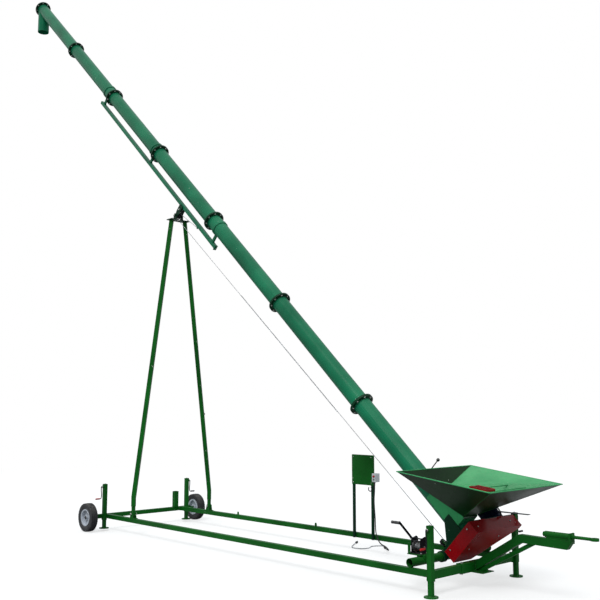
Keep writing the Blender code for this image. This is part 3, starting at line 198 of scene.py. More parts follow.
def make_weather():
    """Dust on what faces up, slow changes of tone, and dull marks that run down."""
    group, b, given, result = new_group(
        "weather", {"Patch Scale": 2.5, "Dust": 0.3, "Runs": 0.3}, ["Tone", "Dust", "Runs"]
    )
    coords = b.add("ShaderNodeTexCoord")
    place, normal = coords.outputs["Object"], coords.outputs["Normal"]
    broad = b.add("ShaderNodeTexNoise", {"Vector": place, "Scale": given["Patch Scale"], "Detail": 6.0})
    b.feed(result["Tone"], broad.outputs["Fac"])
    up = b.add("ShaderNodeSeparateXYZ", {"Vector": normal}).outputs["Z"]
    settled = b.steps(up, 0.15, 0.95)
    fine = b.add("ShaderNodeTexNoise", {"Vector": place, "Scale": 38.0, "Detail": 8.0, "Roughness": 0.7})
    clump = b.steps(b.sum("ADD", fine.outputs["Fac"], broad.outputs["Fac"]), 0.80, 1.20)
    b.feed(result["Dust"], b.sum("MULTIPLY", b.sum("MULTIPLY", settled, clump), given["Dust"], clamp=True))
    drawn = b.add("ShaderNodeMapping", {"Vector": place, "Scale": (26.0, 26.0, 1.6)})
    lines = b.add("ShaderNodeTexNoise", {"Vector": drawn, "Scale": 1.0, "Detail": 4.0})
    run = b.steps(lines.outputs["Fac"], 0.55, 0.75)
    b.feed(result["Runs"], b.sum("MULTIPLY", run, given["Runs"], clamp=True))
    return group


def make_flecks():
    """Small bright chips and scuffs scattered over a painted face."""
    group, b, given, result = new_group("flecks", {"Scale": 9.0, "Size": 0.05, "Amount": 1.0}, ["Fleck"])
    place = b.add("ShaderNodeTexCoord").outputs["Object"]
    warp = b.add("ShaderNodeTexNoise", {"Vector": place, "Scale": 30.0, "Detail": 3.0})
    bent = b.vector("ADD", place, b.vector("SCALE", warp.outputs["Color"]).outputs[0])
    b.feed(bent.inputs[1].links[0].from_node.inputs["Scale"], 0.03)
    cells = b.add("ShaderNodeTexVoronoi", {"Vector": bent, "Scale": given["Scale"]})
    chosen = b.add("ShaderNodeSeparateColor", {"Color": cells.outputs["Color"]}).outputs["Red"]
    size = b.sum("MULTIPLY", given["Size"], b.steps(chosen, 0.55, 1.0))
    spot = b.sum("LESS_THAN", cells.outputs["Distance"], size)
    b.feed(result["Fleck"], b.sum("MULTIPLY", spot, given["Amount"], clamp=True))
    return group


def make_skin():
    """The slight unevenness of a sprayed, rolled or moulded face, as a height."""
    group, b, given, result = new_group("skin", {"Scale": 240.0, "Waves": 7.0, "Waviness": 0.5}, ["Height"])
    place = b.add("ShaderNodeTexCoord").outputs["Object"]
    grain = b.add("ShaderNodeTexNoise", {"Vector": place, "Scale": given["Scale"], "Detail": 2.0})
    waves = b.add("ShaderNodeTexNoise", {"Vector": place, "Scale": given["Waves"], "Detail": 2.0})
    wide = b.sum("MULTIPLY", waves.outputs["Fac"], given["Waviness"])
    b.feed(result["Height"], b.sum("ADD", b.sum("MULTIPLY", grain.outputs["Fac"], 0.12), wide))
    return group


EDGE_WEAR, WEATHER, FLECKS, SKIN = make_edge_wear(), make_weather(), make_flecks(), make_skin()


def placed(board, group, values):
    node = board.add("ShaderNodeGroup", node_tree=group)
    for name, value in values.items():
        node.inputs[name].default_value = value
    return node.outputs


def blank(name):
    material = bpy.data.materials.new(name)
    material.use_nodes = True
    board = Board(material.node_tree)
    return material, board, material.node_tree.nodes["Principled BSDF"].inputs


def tinted(colour, share):
    return (*[channel * share for channel in colour], 1)


PRIMER = (0.10, 0.10, 0.09)


def paint(name, colour, rough, coat=0.08, dust=0.07, wear=0.4, flecks=0.6, runs=0.3, under=PRIMER):
    """Sprayed enamel: tone, dust, runs, chips down to primer, and rubbed edges."""
    material, b, shader = blank(name)
    weather = placed(b, WEATHER, {"Patch Scale": 1.9, "Dust": dust, "Runs": runs})
    chip = placed(b, FLECKS, {"Scale": 11.0, "Size": 0.075, "Amount": flecks})["Fleck"]
    worn = placed(b, EDGE_WEAR, {"Radius": 0.0035, "Raggedness": 70.0, "Amount": wear})["Wear"]
    skin = placed(b, SKIN, {"Scale": 260.0, "Waves": 9.0, "Waviness": 0.35})["Height"]
    base = b.blend(b.steps(weather["Tone"], 0.32, 0.68), tinted(colour, 0.72), tinted(colour, 1.22))
    streaked = b.blend(weather["Runs"], base, tinted([c * 0.8 + 0.006 for c in colour], 0.9))
    dusty = b.blend(weather["Dust"], streaked, (0.36, 0.36, 0.28, 1))
    chipped = b.blend(chip, dusty, (0.55, 0.58, 0.52, 1))
    b.feed(shader["Base Color"], b.blend(worn, chipped, (*under, 1)))
    dull = b.sum("MULTIPLY_ADD", weather["Dust"], 0.45, rough)
    marked = b.sum("MULTIPLY_ADD", weather["Runs"], 0.18, dull)
    uneven = b.sum("MULTIPLY_ADD", b.steps(weather["Tone"], 0.3, 0.7, -0.06, 0.06), 1.0, marked)
    b.feed(shader["Roughness"], b.sum("ADD", uneven, b.sum("MULTIPLY", worn, 0.2), clamp=True))
    shader["Specular IOR Level"].default_value = 0.08
    shader["Coat Weight"].default_value = coat
    shader["Coat Roughness"].default_value = 0.12
    height = b.sum("SUBTRACT", skin, b.sum("MULTIPLY", b.sum("ADD", chip, worn), 0.6))
    bump = b.add("ShaderNodeBump", {"Height": height, "Strength": 0.22, "Distance": 0.002})
    b.feed(shader["Normal"], bump)
    return material


def bare_metal(name, colour, rough, along=(1, 1, 40), grime=0.5, dark=(0.05, 0.045, 0.04)):
    """Bright metal with drawn lines, handled patches and dirt."""
    material, b, shader = blank(name)
    place = b.add("ShaderNodeTexCoord").outputs["Object"]
    drawn = b.add("ShaderNodeMapping", {"Vector": place, "Scale": tuple(18.0 * a for a in along)})
    lines = b.add("ShaderNodeTexNoise", {"Vector": drawn, "Scale": 4.0, "Detail": 6.0})
    weather = placed(b, WEATHER, {"Patch Scale": 7.0, "Dust": 0.2, "Runs": grime})
    patch = b.steps(weather["Tone"], 0.40, 0.66)
    base = b.blend(b.sum("MULTIPLY", patch, grime), (*colour, 1), (*dark, 1))
    b.feed(shader["Base Color"], b.blend(weather["Dust"], base, (0.33, 0.30, 0.24, 1)))
    shine = b.sum("MULTIPLY_ADD", lines.outputs["Fac"], 0.22, rough - 0.08)
    b.feed(shader["Roughness"], b.sum("MULTIPLY_ADD", patch, 0.3 * grime, shine))
    b.feed(shader["Metallic"], b.steps(weather["Runs"], 0.0, 1.0, 1.0, 0.35))
    bump = b.add("ShaderNodeBump", {"Height": lines.outputs["Fac"], "Strength": 0.15, "Distance": 0.0008})
    b.feed(shader["Normal"], bump)
    return material


def moulded(name, patch, dust, runs, tones, marked, settled, roughness, skin, strength, depth):
    """Rubber or plastic as it leaves the mould: two tones, rubbed marks, settled dust and a grain."""
    material, b, shader = blank(name)
    weather = placed(b, WEATHER, {"Patch Scale": patch, "Dust": dust, "Runs": runs})
    skin = placed(b, SKIN, dict(zip(("Scale", "Waves", "Waviness"), skin)))["Height"]
    top, dark, light = tones
    marks = b.blend(weather["Runs"], b.blend(b.steps(weather["Tone"], 0.35, top), dark, light), marked)
    b.feed(shader["Base Color"], b.blend(weather["Dust"], marks, settled))
    b.feed(shader["Roughness"], b.steps(weather["Tone"], 0.3, 0.7, *roughness))
    bump = b.add("ShaderNodeBump", {"Height": skin, "Strength": strength, "Distance": depth})
    b.feed(shader["Normal"], bump)
    return material


def rubber(name, colour, rough, dust=0.35, grain=320.0):
    """Moulded rubber or cable sheath: matt, a little bloomed, dusty on top."""
    tones = 0.7, tinted(colour, 0.7), tinted(colour, 1.8)
    marked, settled = tinted([c + 0.03 for c in colour], 1.0), (0.24, 0.22, 0.18, 1)
    roughness = rough - 0.1, rough + 0.1
    return moulded(name, 12.0, dust, 0.4, tones, marked, settled, roughness, (grain, 30.0, 0.3), 0.35, 0.001)


def plastic(name, colour, rough):
    """Moulded plastic with a fine spark texture and a slightly yellowed tone."""
    tones = 0.65, tinted(colour, 0.92), tinted(colour, 1.05)
    marked, settled = tinted(colour, 0.62), (0.36, 0.34, 0.28, 1)
    roughness = rough - 0.06, rough + 0.08
    return moulded(name, 5.0, 0.25, 0.35, tones, marked, settled, roughness, (520.0, 15.0, 0.1), 0.2, 0.0006)


TUBE_GREEN = paint("tube_green", (0.005, 0.140, 0.064), 0.34, coat=0.08, dust=0.05, flecks=0.7)
FRAME_GREEN = paint("frame_green", (0.004, 0.092, 0.009), 0.34, coat=0.03, dust=0.06, flecks=0.6)
# Paler green for the hopper's inside: partly settled dust, partly painted light and grazing sheen. Its
# painted-shade copy follows.
HOPPER_DUSTY_LIT_GREEN = paint("hopper_dusty_lit_green", (0.036, 0.300, 0.105), 0.40, dust=0.15, flecks=0.5, runs=0.6)
# Near-black copy of the hopper green for its outside and neck: painted shade where the sheet faces down and
# away from the light.
HOPPER_SHADE_GREEN = paint("hopper_painted_shade", (0.002, 0.022, 0.003), 0.36, coat=0.02, dust=0.03, flecks=0.7, runs=0.5)
FLANGE_GREEN = paint("flange_green", (0.002, 0.030, 0.012), 0.42, coat=0.02, dust=0.03, flecks=0.3)
TUBE_WELD = paint("tube_weld", (0.005, 0.100, 0.046), 0.36, flecks=0.3)
FRAME_WELD = paint("frame_weld", (0.004, 0.070, 0.008), 0.38, flecks=0.3)
GUARD_RED = paint("guard_red", (0.250, 0.002, 0.005), 0.30, coat=0.10, dust=0.05, flecks=0.5)
IRON_BLACK = paint("iron_black", (0.008, 0.009, 0.012), 0.42, dust=0.06, under=(0.20, 0.19, 0.18))
MOTOR_BLUE = paint("motor_blue", (0.006, 0.014, 0.060), 0.38, dust=0.10)
RUST = (0.15, 0.10, 0.07)
WHEEL_SILVER = paint("wheel_silver", (0.50, 0.54, 0.60), 0.30, dust=0.15, flecks=0.2, under=RUST)
TIP_RED = paint("tip_red", (0.42, 0.012, 0.015), 0.35, coat=0.2)
BARE_STEEL = bare_metal("bare_steel", (0.46, 0.46, 0.47), 0.36)
ZINC = bare_metal("zinc_plate", (0.56, 0.56, 0.54), 0.32, along=(1, 1, 1), grime=0.35)
WIRE = bare_metal("wire_rope", (0.42, 0.43, 0.45), 0.42, along=(1, 1, 1), grime=0.45)
TYRE_RUBBER = rubber("tyre_rubber", (0.018, 0.018, 0.020), 0.72, dust=0.45)
CABLE_RUBBER = rubber("cable_rubber", (0.012, 0.012, 0.013), 0.55, dust=0.2, grain=700.0)
LEAD_RUBBER = rubber("lead_rubber", (0.33, 0.34, 0.36), 0.55, dust=0.3, grain=700.0)
BOX_PLASTIC = plastic("box_plastic", (0.52, 0.55, 0.57), 0.45)
BLACK_PLASTIC = plastic("black_plastic", (0.020, 0.020, 0.022), 0.40)

TUBES = ["inlet_tube", "spout", "guide_rail"] + [f"tube_section_{i}" for i in range(1, JOINTS_IN_TUBE)]
FINISHES = [
    (TUBE_GREEN, TUBES),
    (HOPPER_DUSTY_LIT_GREEN, ["hopper", "inlet_boot"]),
    (FLANGE_GREEN, ["head_plate", "drive_frame", "top_yoke", "carriage_frame"]),
    (GUARD_RED, ["belt_guard"]),
    (BARE_STEEL, ["winch_drum", "screw_shaft", "screw_flight", "gate"]),
    (IRON_BLACK, ["lower_sheave", "top_pulley", "carriage_roller", "screw_pulley", "motor_pulley"]),
    (IRON_BLACK, ["winch_housing", "winch_crank"]),
    (MOTOR_BLUE, ["motor"]),
    (TYRE_RUBBER, ["near_tyre", "far_tyre", "drive_belt"]),
    (WHEEL_SILVER, ["near_rim", "far_rim"]),
    (WIRE, ["rope_short", "rope_low", "rope_high", "rope_tail"]),
    (CABLE_RUBBER, ["panel_cable", "lead_socket", "lead_plug"]),
    (LEAD_RUBBER, ["ground_lead"]),
]


def finish_cad():
    """Gives every CAD node its material: frame green unless the list says otherwise."""
    chosen = {node: FRAME_GREEN for node in CAD}
    chosen.update({node: IRON_BLACK for node in CAD if node.endswith("_jack_crank")})
    for material, nodes in FINISHES:
        chosen.update({node: material for node in nodes})
    for node, material in chosen.items():
        mesh = CAD[node].data
        mesh.materials.clear()
        mesh.materials.append(material)
        for face in mesh.polygons:
            face.use_smooth = False


# ---- light, floor and backdrop
def set_light():
    world = bpy.data.worlds.new("sky")
    bpy.context.scene.world = world
    world.use_nodes = True
    b = Board(world.node_tree)
    path = b.add("ShaderNodeLightPath").outputs
    seen = b.sum("MAXIMUM", path["Is Camera Ray"], path["Is Transmission Ray"])
    height = b.add("ShaderNodeSeparateXYZ", {"Vector": b.add("ShaderNodeTexCoord").outputs["Generated"]})
    brightness = b.steps(height.outputs["Z"], 0.0, 1.0, 0.22, 1.20)
    sky = b.add("ShaderNodeBackground", {"Color": (0.90, 0.96, 1.0, 1), "Strength": brightness})
    plain = b.add("ShaderNodeBackground", {"Color": (1, 1, 1, 1), "Strength": 1.0})
    either = b.add("ShaderNodeMixShader", {0: seen})
    world.node_tree.links.new(sky.outputs[0], either.inputs[1])
    world.node_tree.links.new(plain.outputs[0], either.inputs[2])
    out = world.node_tree.nodes["World Output"]
    world.node_tree.links.new(either.outputs[0], out.inputs["Surface"])
    for name, strength, spread, turn in (
        ("sun", 1.7, 25, (math.radians(38), 0, math.radians(30))),
        ("fill", 0.5, 60, (math.radians(60), 0, math.radians(-60))),
    ):
        lamp = bpy.data.lights.new(name, "SUN")
        lamp.energy = strength
        lamp.angle = math.radians(spread)
        holder = bpy.data.objects.new(name, lamp)
        holder.rotation_euler = turn
        bpy.context.scene.collection.objects.link(holder)
    bpy.context.scene.view_settings.view_transform = "Standard"


def lay_floor():
    half = 60
    mesh = bpy.data.meshes.new("floor")
    mesh.from_pydata([(i * half, j * half, -0.0005) for i, j in SQUARE[:4]], [], [(0, 1, 2, 3)])
    floor = bpy.data.objects.new("floor", mesh)
    bpy.context.scene.collection.objects.link(floor)
    material, b, shader = blank("floor_white")
    path = b.add("ShaderNodeLightPath").outputs
    ground = b.add("ShaderNodeTexCoord").outputs["Object"]
    away = b.vector("LENGTH", ground).outputs["Value"]
    b.feed(shader["Base Color"], b.blend(path["Is Camera Ray"], (0.34, 0.34, 0.34, 1), (0.92, 0.92, 0.92, 1)))
    shader["Roughness"].default_value = 0.9
    white = b.add("ShaderNodeEmission", {"Color": (1, 1, 1, 1), "Strength": 1.0})
    share = b.sum("MULTIPLY", path["Is Camera Ray"], b.steps(away, 6.0, 14.0, 0.62, 1.0))
    mix = b.add("ShaderNodeMixShader", {0: share})
    tree = material.node_tree
    tree.links.new(tree.nodes["Principled BSDF"].outputs[0], mix.inputs[1])
    tree.links.new(white.outputs[0], mix.inputs[2])
    tree.links.new(mix.outputs[0], tree.nodes["Material Output"].inputs["Surface"])
    mesh.materials.append(material)


# ---- cords
CABLE_RADIUS = 0.007
LEAD_RADIUS = 0.006
COUPLER_LENGTH = 0.070
PANEL_LOW_X, PANEL_HIGH_X = 3.918, 4.277
PANEL_SIDE_X = PANEL_HIGH_X + 0.035  # where the cable leaves the switch box
PANEL_FACE = RAIL_HALF - RAIL_SIDE / 2
GAP = 0.0003


def through(route, steps):
    """Points of a smooth curve through the route's own points."""
    ends = [2 * route[0] - route[1], *route, 2 * route[-1] - route[-2]]
    found = [route[0]]
    for a, b, c, d in zip(ends, ends[1:], ends[2:], ends[3:]):
        for i in range(1, steps + 1):
            t = i / steps
            bend, twist = 2 * a - 5 * b + 4 * c - d, 3 * b - a - 3 * c + d
            found.append(0.5 * (2 * b + (c - a) * t + bend * t * t + twist * t**3))
    return found


def cable_route():
    x, y = PANEL_SIDE_X, PANEL_FACE - 0.040
    turns = [
        (0, 0, 0.690 - GAP),
        (0, 0, 0.600),
        (-0.010, 0, 0.450),
        (0.004, 0, 0.250),
        (0.010, 0.004, 0.080),
        (0.030, 0.020, -0.010),
        (0.060, 0.040, -0.065),
        (0.070, 0.120, -0.110),
        (0.020, 0.230, -0.165),
        (-0.080, 0.330, 0.020 - RAIL_Z),
        (-0.170, 0.400, CABLE_RADIUS + 0.008 - RAIL_Z),
        (-0.215, 0.440, CABLE_RADIUS + 0.008 - RAIL_Z),
    ]
    return [yard(x + along, y + across, rise) for along, across, rise in turns]


def lead_route(tip, heading):
    low = LEAD_RADIUS + 0.001 - tip.z
    turns = [
        (-0.120, 0.090, low),
        (-0.150, 0.060, low),
        (-0.190, -0.040, low),
        (-0.130, -0.160, low),
        (-0.160, -0.280, low),
        (-0.290, -0.300, low),
        (-0.390, -0.200, low),
        (-0.460, -0.080, 0.013 - tip.z),
        (-0.500, -0.010, 0.015 - tip.z),
    ]
    start = [tip, tip + heading * 0.035, tip + heading * 0.090 + Vector((0, 0, low * 0.7))]
    return start + [tip + Vector(turn) for turn in turns]


def bent_bar(name, points, radius, material, sides=12, taper=None):
    """A round bar along these points, closed at both ends. taper gives each point its own radius."""
    shape = bmesh.new()
    rings = []
    side = None
    for i, point in enumerate(points):
        ahead = points[min(i + 1, len(points) - 1)] - points[max(i - 1, 0)]
        ahead.normalize()
        if side is None:
            side = ahead.cross(UP if abs(ahead.z) < 0.9 else ACROSS).normalized()
        side = (side - ahead * side.dot(ahead)).normalized()
        above = ahead.cross(side)
        r = taper[i] if taper else radius
        ring = []
        for k in range(sides):
            angle = 2 * math.pi * k / sides
            ring.append(shape.verts.new(point + (side * math.cos(angle) + above * math.sin(angle)) * r))
        rings.append(ring)
    for a, b in zip(rings, rings[1:]):
        for k in range(sides):
            shape.faces.new((a[k], a[(k + 1) % sides], b[(k + 1) % sides], b[k]))
    shape.faces.new(rings[0][::-1])
    shape.faces.new(rings[-1])
    return landed(name, shape, material, smooth=True)


def landed(name, shape, material, smooth=False, sharp=35):
    """Turns a bmesh into a finished object whose faces point outwards."""
    bmesh.ops.recalc_face_normals(shape, faces=shape.faces)
    mesh = bpy.data.meshes.new(name)
    shape.to_mesh(mesh)
    shape.free()
    mesh.materials.append(material)
    piece = bpy.data.objects.new(name, mesh)
    bpy.context.scene.collection.objects.link(piece)
    if smooth:
        mesh.shade_smooth()
        mesh.set_sharp_from_angle(angle=math.radians(sharp))
    return piece


def lay_cord(name, line, radius, material, node, slot, far_end, on_it):
    """One free cord along its line, in place of its CAD node."""
    cord = bent_bar(name, line, radius, material)
    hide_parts(node)
    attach(cord, "chassis")


def lay_cords():
    route = cable_route()
    line = through(route, 6)
    ends = "panel_cable", "cable_rubber", "connector", "lead_socket"
    lay_cord("panel_supply_cable", line, CABLE_RADIUS, CABLE_RUBBER, *ends)
    heading = (route[-1] - route[-2]).normalized()
    tip = route[-1] + heading * (COUPLER_LENGTH + 2 * GAP)
    trail = through(lead_route(tip, heading), 6)
    ends = "ground_lead", "grey_plastic", "plug", "lead_plug"
    lay_cord("ground_supply_lead", trail, LEAD_RADIUS, LEAD_RUBBER, *ends)


# ---- shape trees
def new_shape_tree(name, **inputs):
    """An empty Geometry Nodes tree, whose inputs take their kinds from their defaults."""
    kinds = {int: "Int", float: "Float", tuple: "Vector"}
    tree = bpy.data.node_groups.new(name, "GeometryNodeTree")
    tree.interface.new_socket("Geometry", in_out="INPUT", socket_type="NodeSocketGeometry")
    for label, default in inputs.items():
        kind = f"NodeSocket{kinds[type(default)]}"
        tree.interface.new_socket(label, in_out="INPUT", socket_type=kind).default_value = default
    tree.interface.new_socket("Material", in_out="INPUT", socket_type="NodeSocketMaterial")
    tree.interface.new_socket("Geometry", in_out="OUTPUT", socket_type="NodeSocketGeometry")
    board = Board(tree)
    return tree, board, board.add("NodeGroupInput").outputs, board.add("NodeGroupOutput").inputs


def close_tree(board, given, result, shape):
    """Realises what the tree made and gives it its material."""
    real = board.add("GeometryNodeRealizeInstances", {"Geometry": shape})
    painted = board.add("GeometryNodeSetMaterial", {"Geometry": real, "Material": given["Material"]})
    board.feed(result["Geometry"], painted)


def make_ring_tree():
    """Repeats its shape round the local Z axis."""
    tree, b, given, result = new_shape_tree("repeat_round", Count=8, Start=0.0)
    points = b.add("GeometryNodePoints", {"Count": given["Count"]})
    step = b.sum("DIVIDE", 2 * math.pi, given["Count"])
    angle = b.sum("MULTIPLY_ADD", b.add("GeometryNodeInputIndex"), step, given["Start"])
    turn = b.add("FunctionNodeEulerToRotation", {"Euler": b.add("ShaderNodeCombineXYZ", {"Z": angle})})
    into = {"Points": points, "Instance": given["Geometry"], "Rotation": turn}
    close_tree(b, given, result, b.add("GeometryNodeInstanceOnPoints", into))
    return tree


def make_row_tree():
    """Repeats its shape in a straight row."""
    tree, b, given, result = new_shape_tree("repeat_along", Count=8, Step=(0.01, 0, 0))
    place = b.vector("SCALE", given["Step"])
    b.feed(place.inputs["Scale"], b.add("GeometryNodeInputIndex"))
    points = b.add("GeometryNodePoints", {"Count": given["Count"], "Position": place})
    into = {"Points": points, "Instance": given["Geometry"]}
    close_tree(b, given, result, b.add("GeometryNodeInstanceOnPoints", into))
    return tree


def make_bolt_tree():
    """A washer, a six-sided head and a stud end on every point, along the point's own outward direction."""
    tree, b, given, result = new_shape_tree(
        "bolts_on_points", Across=0.019, Height=0.008, Washer=0.013, Stud=0.004
    )
    corner = b.sum("DIVIDE", given["Across"], 2 * math.cos(math.pi / 6))

    def drum(sides, radius, depth, low, top=None):
        into = {"Vertices": sides, "Depth": depth, "Radius Bottom": radius, "Radius Top": top or radius}
        shape = b.add("GeometryNodeMeshCone", into).outputs["Mesh"]
        lift = b.add("ShaderNodeCombineXYZ", {"Z": low})
        return b.add("GeometryNodeTransform", {"Geometry": shape, "Translation": lift}).outputs[0]

    washer = drum(16, given["Washer"], 0.0025, -0.0005)
    head = drum(6, corner, b.sum("MULTIPLY", given["Height"], 0.8), 0.0015)
    low = b.sum("MULTIPLY_ADD", given["Height"], 0.8, 0.0015)
    crown = drum(6, corner, b.sum("MULTIPLY", given["Height"], 0.2), low, b.sum("MULTIPLY", corner, 0.82))
    top = b.sum("ADD", given["Height"], 0.0010)
    stud = drum(10, b.sum("MULTIPLY", given["Across"], 0.29), given["Stud"], top)
    bolt = b.add("GeometryNodeJoinGeometry")
    for shape in (washer, head, crown, stud):
        tree.links.new(shape, bolt.inputs[0])
    outward = b.add("GeometryNodeInputNamedAttribute", {"Name": "outward"}, data_type="FLOAT_VECTOR")
    turn = b.add("FunctionNodeAlignRotationToVector", {"Vector": outward.outputs["Attribute"]}, axis="Z")
    into = {"Points": given["Geometry"], "Instance": bolt, "Rotation": turn}
    close_tree(b, given, result, b.add("GeometryNodeInstanceOnPoints", into))
    return tree


def make_weld_tree():
    """Overlapping drops of metal along every edge of its shape."""
    tree, b, given, result = new_shape_tree("weld_bead", Width=0.006, Pitch=0.005, Seed=3)
    line = b.add("GeometryNodeMeshToCurve", {"Mesh": given["Geometry"]})
    spaced = b.add("GeometryNodeResampleCurve", {"Curve": line, "Length": given["Pitch"]}, mode="LENGTH")
    drop = b.add("GeometryNodeMeshUVSphere", {"Segments": 7, "Rings": 5, "Radius": given["Width"]})
    spread = {"Min": 0.85, "Max": 1.12, "Seed": given["Seed"]}
    size = b.add("FunctionNodeRandomValue", spread, data_type="FLOAT")
    into = {"Points": spaced, "Instance": drop.outputs["Mesh"], "Scale": size.outputs["Value"]}
    close_tree(b, given, result, b.add("GeometryNodeInstanceOnPoints", into))
    return tree


def make_flight_tree():
    """The screw's ribbon: a grid rolled round the shaft at an even pitch."""
    tree, b, given, result = new_shape_tree(
        "screw_ribbon", Length=10.0, Pitch=0.2, Inner=0.024, Outer=0.1, Steps=24
    )
    turns = b.sum("DIVIDE", given["Length"], given["Pitch"])
    rows = b.sum("MULTIPLY_ADD", turns, given["Steps"], 1.0)
    sheet = b.add("GeometryNodeMeshGrid", {"Size X": 1.0, "Size Y": 1.0, "Vertices X": rows, "Vertices Y": 3})
    flat = b.add("ShaderNodeSeparateXYZ", {"Vector": b.add("GeometryNodeInputPosition")}).outputs
    along = b.sum("ADD", flat["X"], 0.5)
    share = b.sum("ADD", flat["Y"], 0.5)
    reach = b.sum("SUBTRACT", given["Outer"], given["Inner"])
    radius = b.sum("MULTIPLY_ADD", share, reach, given["Inner"])
    angle = b.sum("MULTIPLY", b.sum("MULTIPLY", along, turns), 2 * math.pi)
    into = {
        "X": b.sum("MULTIPLY", radius, b.sum("COSINE", angle)),
        "Y": b.sum("MULTIPLY", radius, b.sum("SINE", angle)),
        "Z": b.sum("MULTIPLY", along, given["Length"]),
    }
    rolled = b.add(
        "GeometryNodeSetPosition",
        {"Geometry": sheet.outputs["Mesh"], "Position": b.add("ShaderNodeCombineXYZ", into)},
    )
    close_tree(b, given, result, rolled)
    return tree


def make_rope_tree():
    """Laid wire rope along its shape's edges: a lobed section that turns once in every lay."""
    tree, b, given, result = new_shape_tree(
        "laid_rope", Radius=ROPE_RADIUS, Lay=0.050, Strands=6, Step=0.006
    )
    line = b.add("GeometryNodeMeshToCurve", {"Mesh": given["Geometry"]})
    spaced = b.add("GeometryNodeResampleCurve", {"Curve": line, "Length": given["Step"]}, mode="LENGTH")
    run = b.add("GeometryNodeSplineParameter").outputs["Length"]
    twist = b.sum("MULTIPLY", b.sum("DIVIDE", run, given["Lay"]), 2 * math.pi)
    tilted = b.add("GeometryNodeSetCurveTilt", {"Curve": spaced, "Tilt": twist})
    corners = b.sum("MULTIPLY", given["Strands"], 4.0)
    ring = b.add("GeometryNodeCurvePrimitiveCircle", {"Resolution": corners, "Radius": given["Radius"]})
    share = b.add("GeometryNodeSplineParameter").outputs["Factor"]
    lobes = b.sum("MULTIPLY", b.sum("MULTIPLY", share, given["Strands"]), math.pi)
    depth = b.sum("MULTIPLY_ADD", b.sum("ABSOLUTE", b.sum("SINE", lobes)), 0.22, 0.78)
    shrunk = b.vector("SCALE", b.add("GeometryNodeInputPosition"))
    b.feed(shrunk.inputs["Scale"], depth)
    section = b.add("GeometryNodeSetPosition", {"Geometry": ring.outputs["Curve"], "Position": shrunk})
    into = {"Curve": tilted, "Profile Curve": section, "Fill Caps": True}
    close_tree(b, given, result, b.add("GeometryNodeCurveToMesh", into))
    return tree


ROUND, ALONG, BOLTS = make_ring_tree(), make_row_tree(), make_bolt_tree()
BEAD, RIBBON, LAID = make_weld_tree(), make_flight_tree(), make_rope_tree()


def grown(name, mesh, tree, material, place=None, smooth=None, **sizes):
    """Runs a shape tree over a mesh and keeps the result as a plain piece, set in its place."""
    seed = bpy.data.objects.new(name + "_seed", mesh)
    bpy.context.scene.collection.objects.link(seed)
    step = seed.modifiers.new("grow", "NODES")
    step.node_group = tree
    wanted = {label.replace("_", " "): value for label, value in sizes.items()} | {"Material": material}
    for socket in tree.interface.items_tree:
        if socket.in_out == "INPUT" and socket.name in wanted:
            step[socket.identifier] = wanted[socket.name]
    bpy.context.view_layer.update()
    shape = seed.evaluated_get(bpy.context.evaluated_depsgraph_get())
    result = bpy.data.meshes.new_from_object(shape)
    bpy.data.objects.remove(seed)
    result.name = name
    if place is not None:
        result.transform(place)
    if smooth:
        result.shade_smooth()
        result.set_sharp_from_angle(angle=math.radians(smooth))
    piece = bpy.data.objects.new(name, result)
    bpy.context.scene.collection.objects.link(piece)
    return piece


def joined(name, pieces):
    """Several finished objects made one piece, with their materials kept."""
    whole = bmesh.new()
    materials = []
    for piece in pieces:
        offset = len(whole.faces)
        whole.from_mesh(piece.data)
        whole.faces.ensure_lookup_table()
        own = list(piece.data.materials)
        for material in own:
            if material not in materials:
                materials.append(material)
        for face in whole.faces[offset:]:
            face.material_index = materials.index(own[min(face.material_index, len(own) - 1)])
    mesh = bpy.data.meshes.new(name)
    whole.to_mesh(mesh)
    whole.free()
    for material in materials:
        mesh.materials.append(material)
    for piece in pieces:
        bpy.data.objects.remove(piece)
    piece = bpy.data.objects.new(name, mesh)
    bpy.context.scene.collection.objects.link(piece)
    return piece


def block(name, size, place, material, round_over=0.002):
    """A box with softened edges, centred on its place."""
    shape = bmesh.new()
    bmesh.ops.create_cube(shape, size=1)
    bmesh.ops.scale(shape, vec=size, verts=shape.verts)
    if round_over:
        bmesh.ops.bevel(
            shape, geom=list(shape.edges), offset=min(round_over, 0.4 * min(size)), segments=2,
            affect="EDGES", profile=0.7,
        )
    matrix = place if isinstance(place, Matrix) else Matrix.Translation(place)
    bmesh.ops.transform(shape, matrix=matrix, verts=shape.verts)
    return landed(name, shape, material, smooth=True)


def lathe(name, profile, place, material, steps=48):
    """A profile of (radius, height) points turned about the place's own Z, open only on the axis."""
    shape = bmesh.new()
    rows = []
    for radius, height in profile:
        if radius < 1e-6:
            rows.append([shape.verts.new((0, 0, height))])
            continue
        row = []
        for i in range(steps):
            angle = 2 * math.pi * i / steps
            row.append(shape.verts.new((radius * math.cos(angle), radius * math.sin(angle), height)))
        rows.append(row)
    closed = len(rows[0]) > 1
    pairs = list(zip(rows, rows[1:])) + ([(rows[-1], rows[0])] if closed else [])
    for a, b in pairs:
        for i in range(steps):
            j = (i + 1) % steps
            if len(a) == 1:
                shape.faces.new((a[0], b[i], b[j]))
            elif len(b) == 1:
                shape.faces.new((a[i], b[0], a[j]))
            else:
                shape.faces.new((a[i], b[i], b[j], a[j]))
    bmesh.ops.transform(shape, matrix=place, verts=shape.verts)
    return landed(name, shape, material, smooth=True, sharp=30)


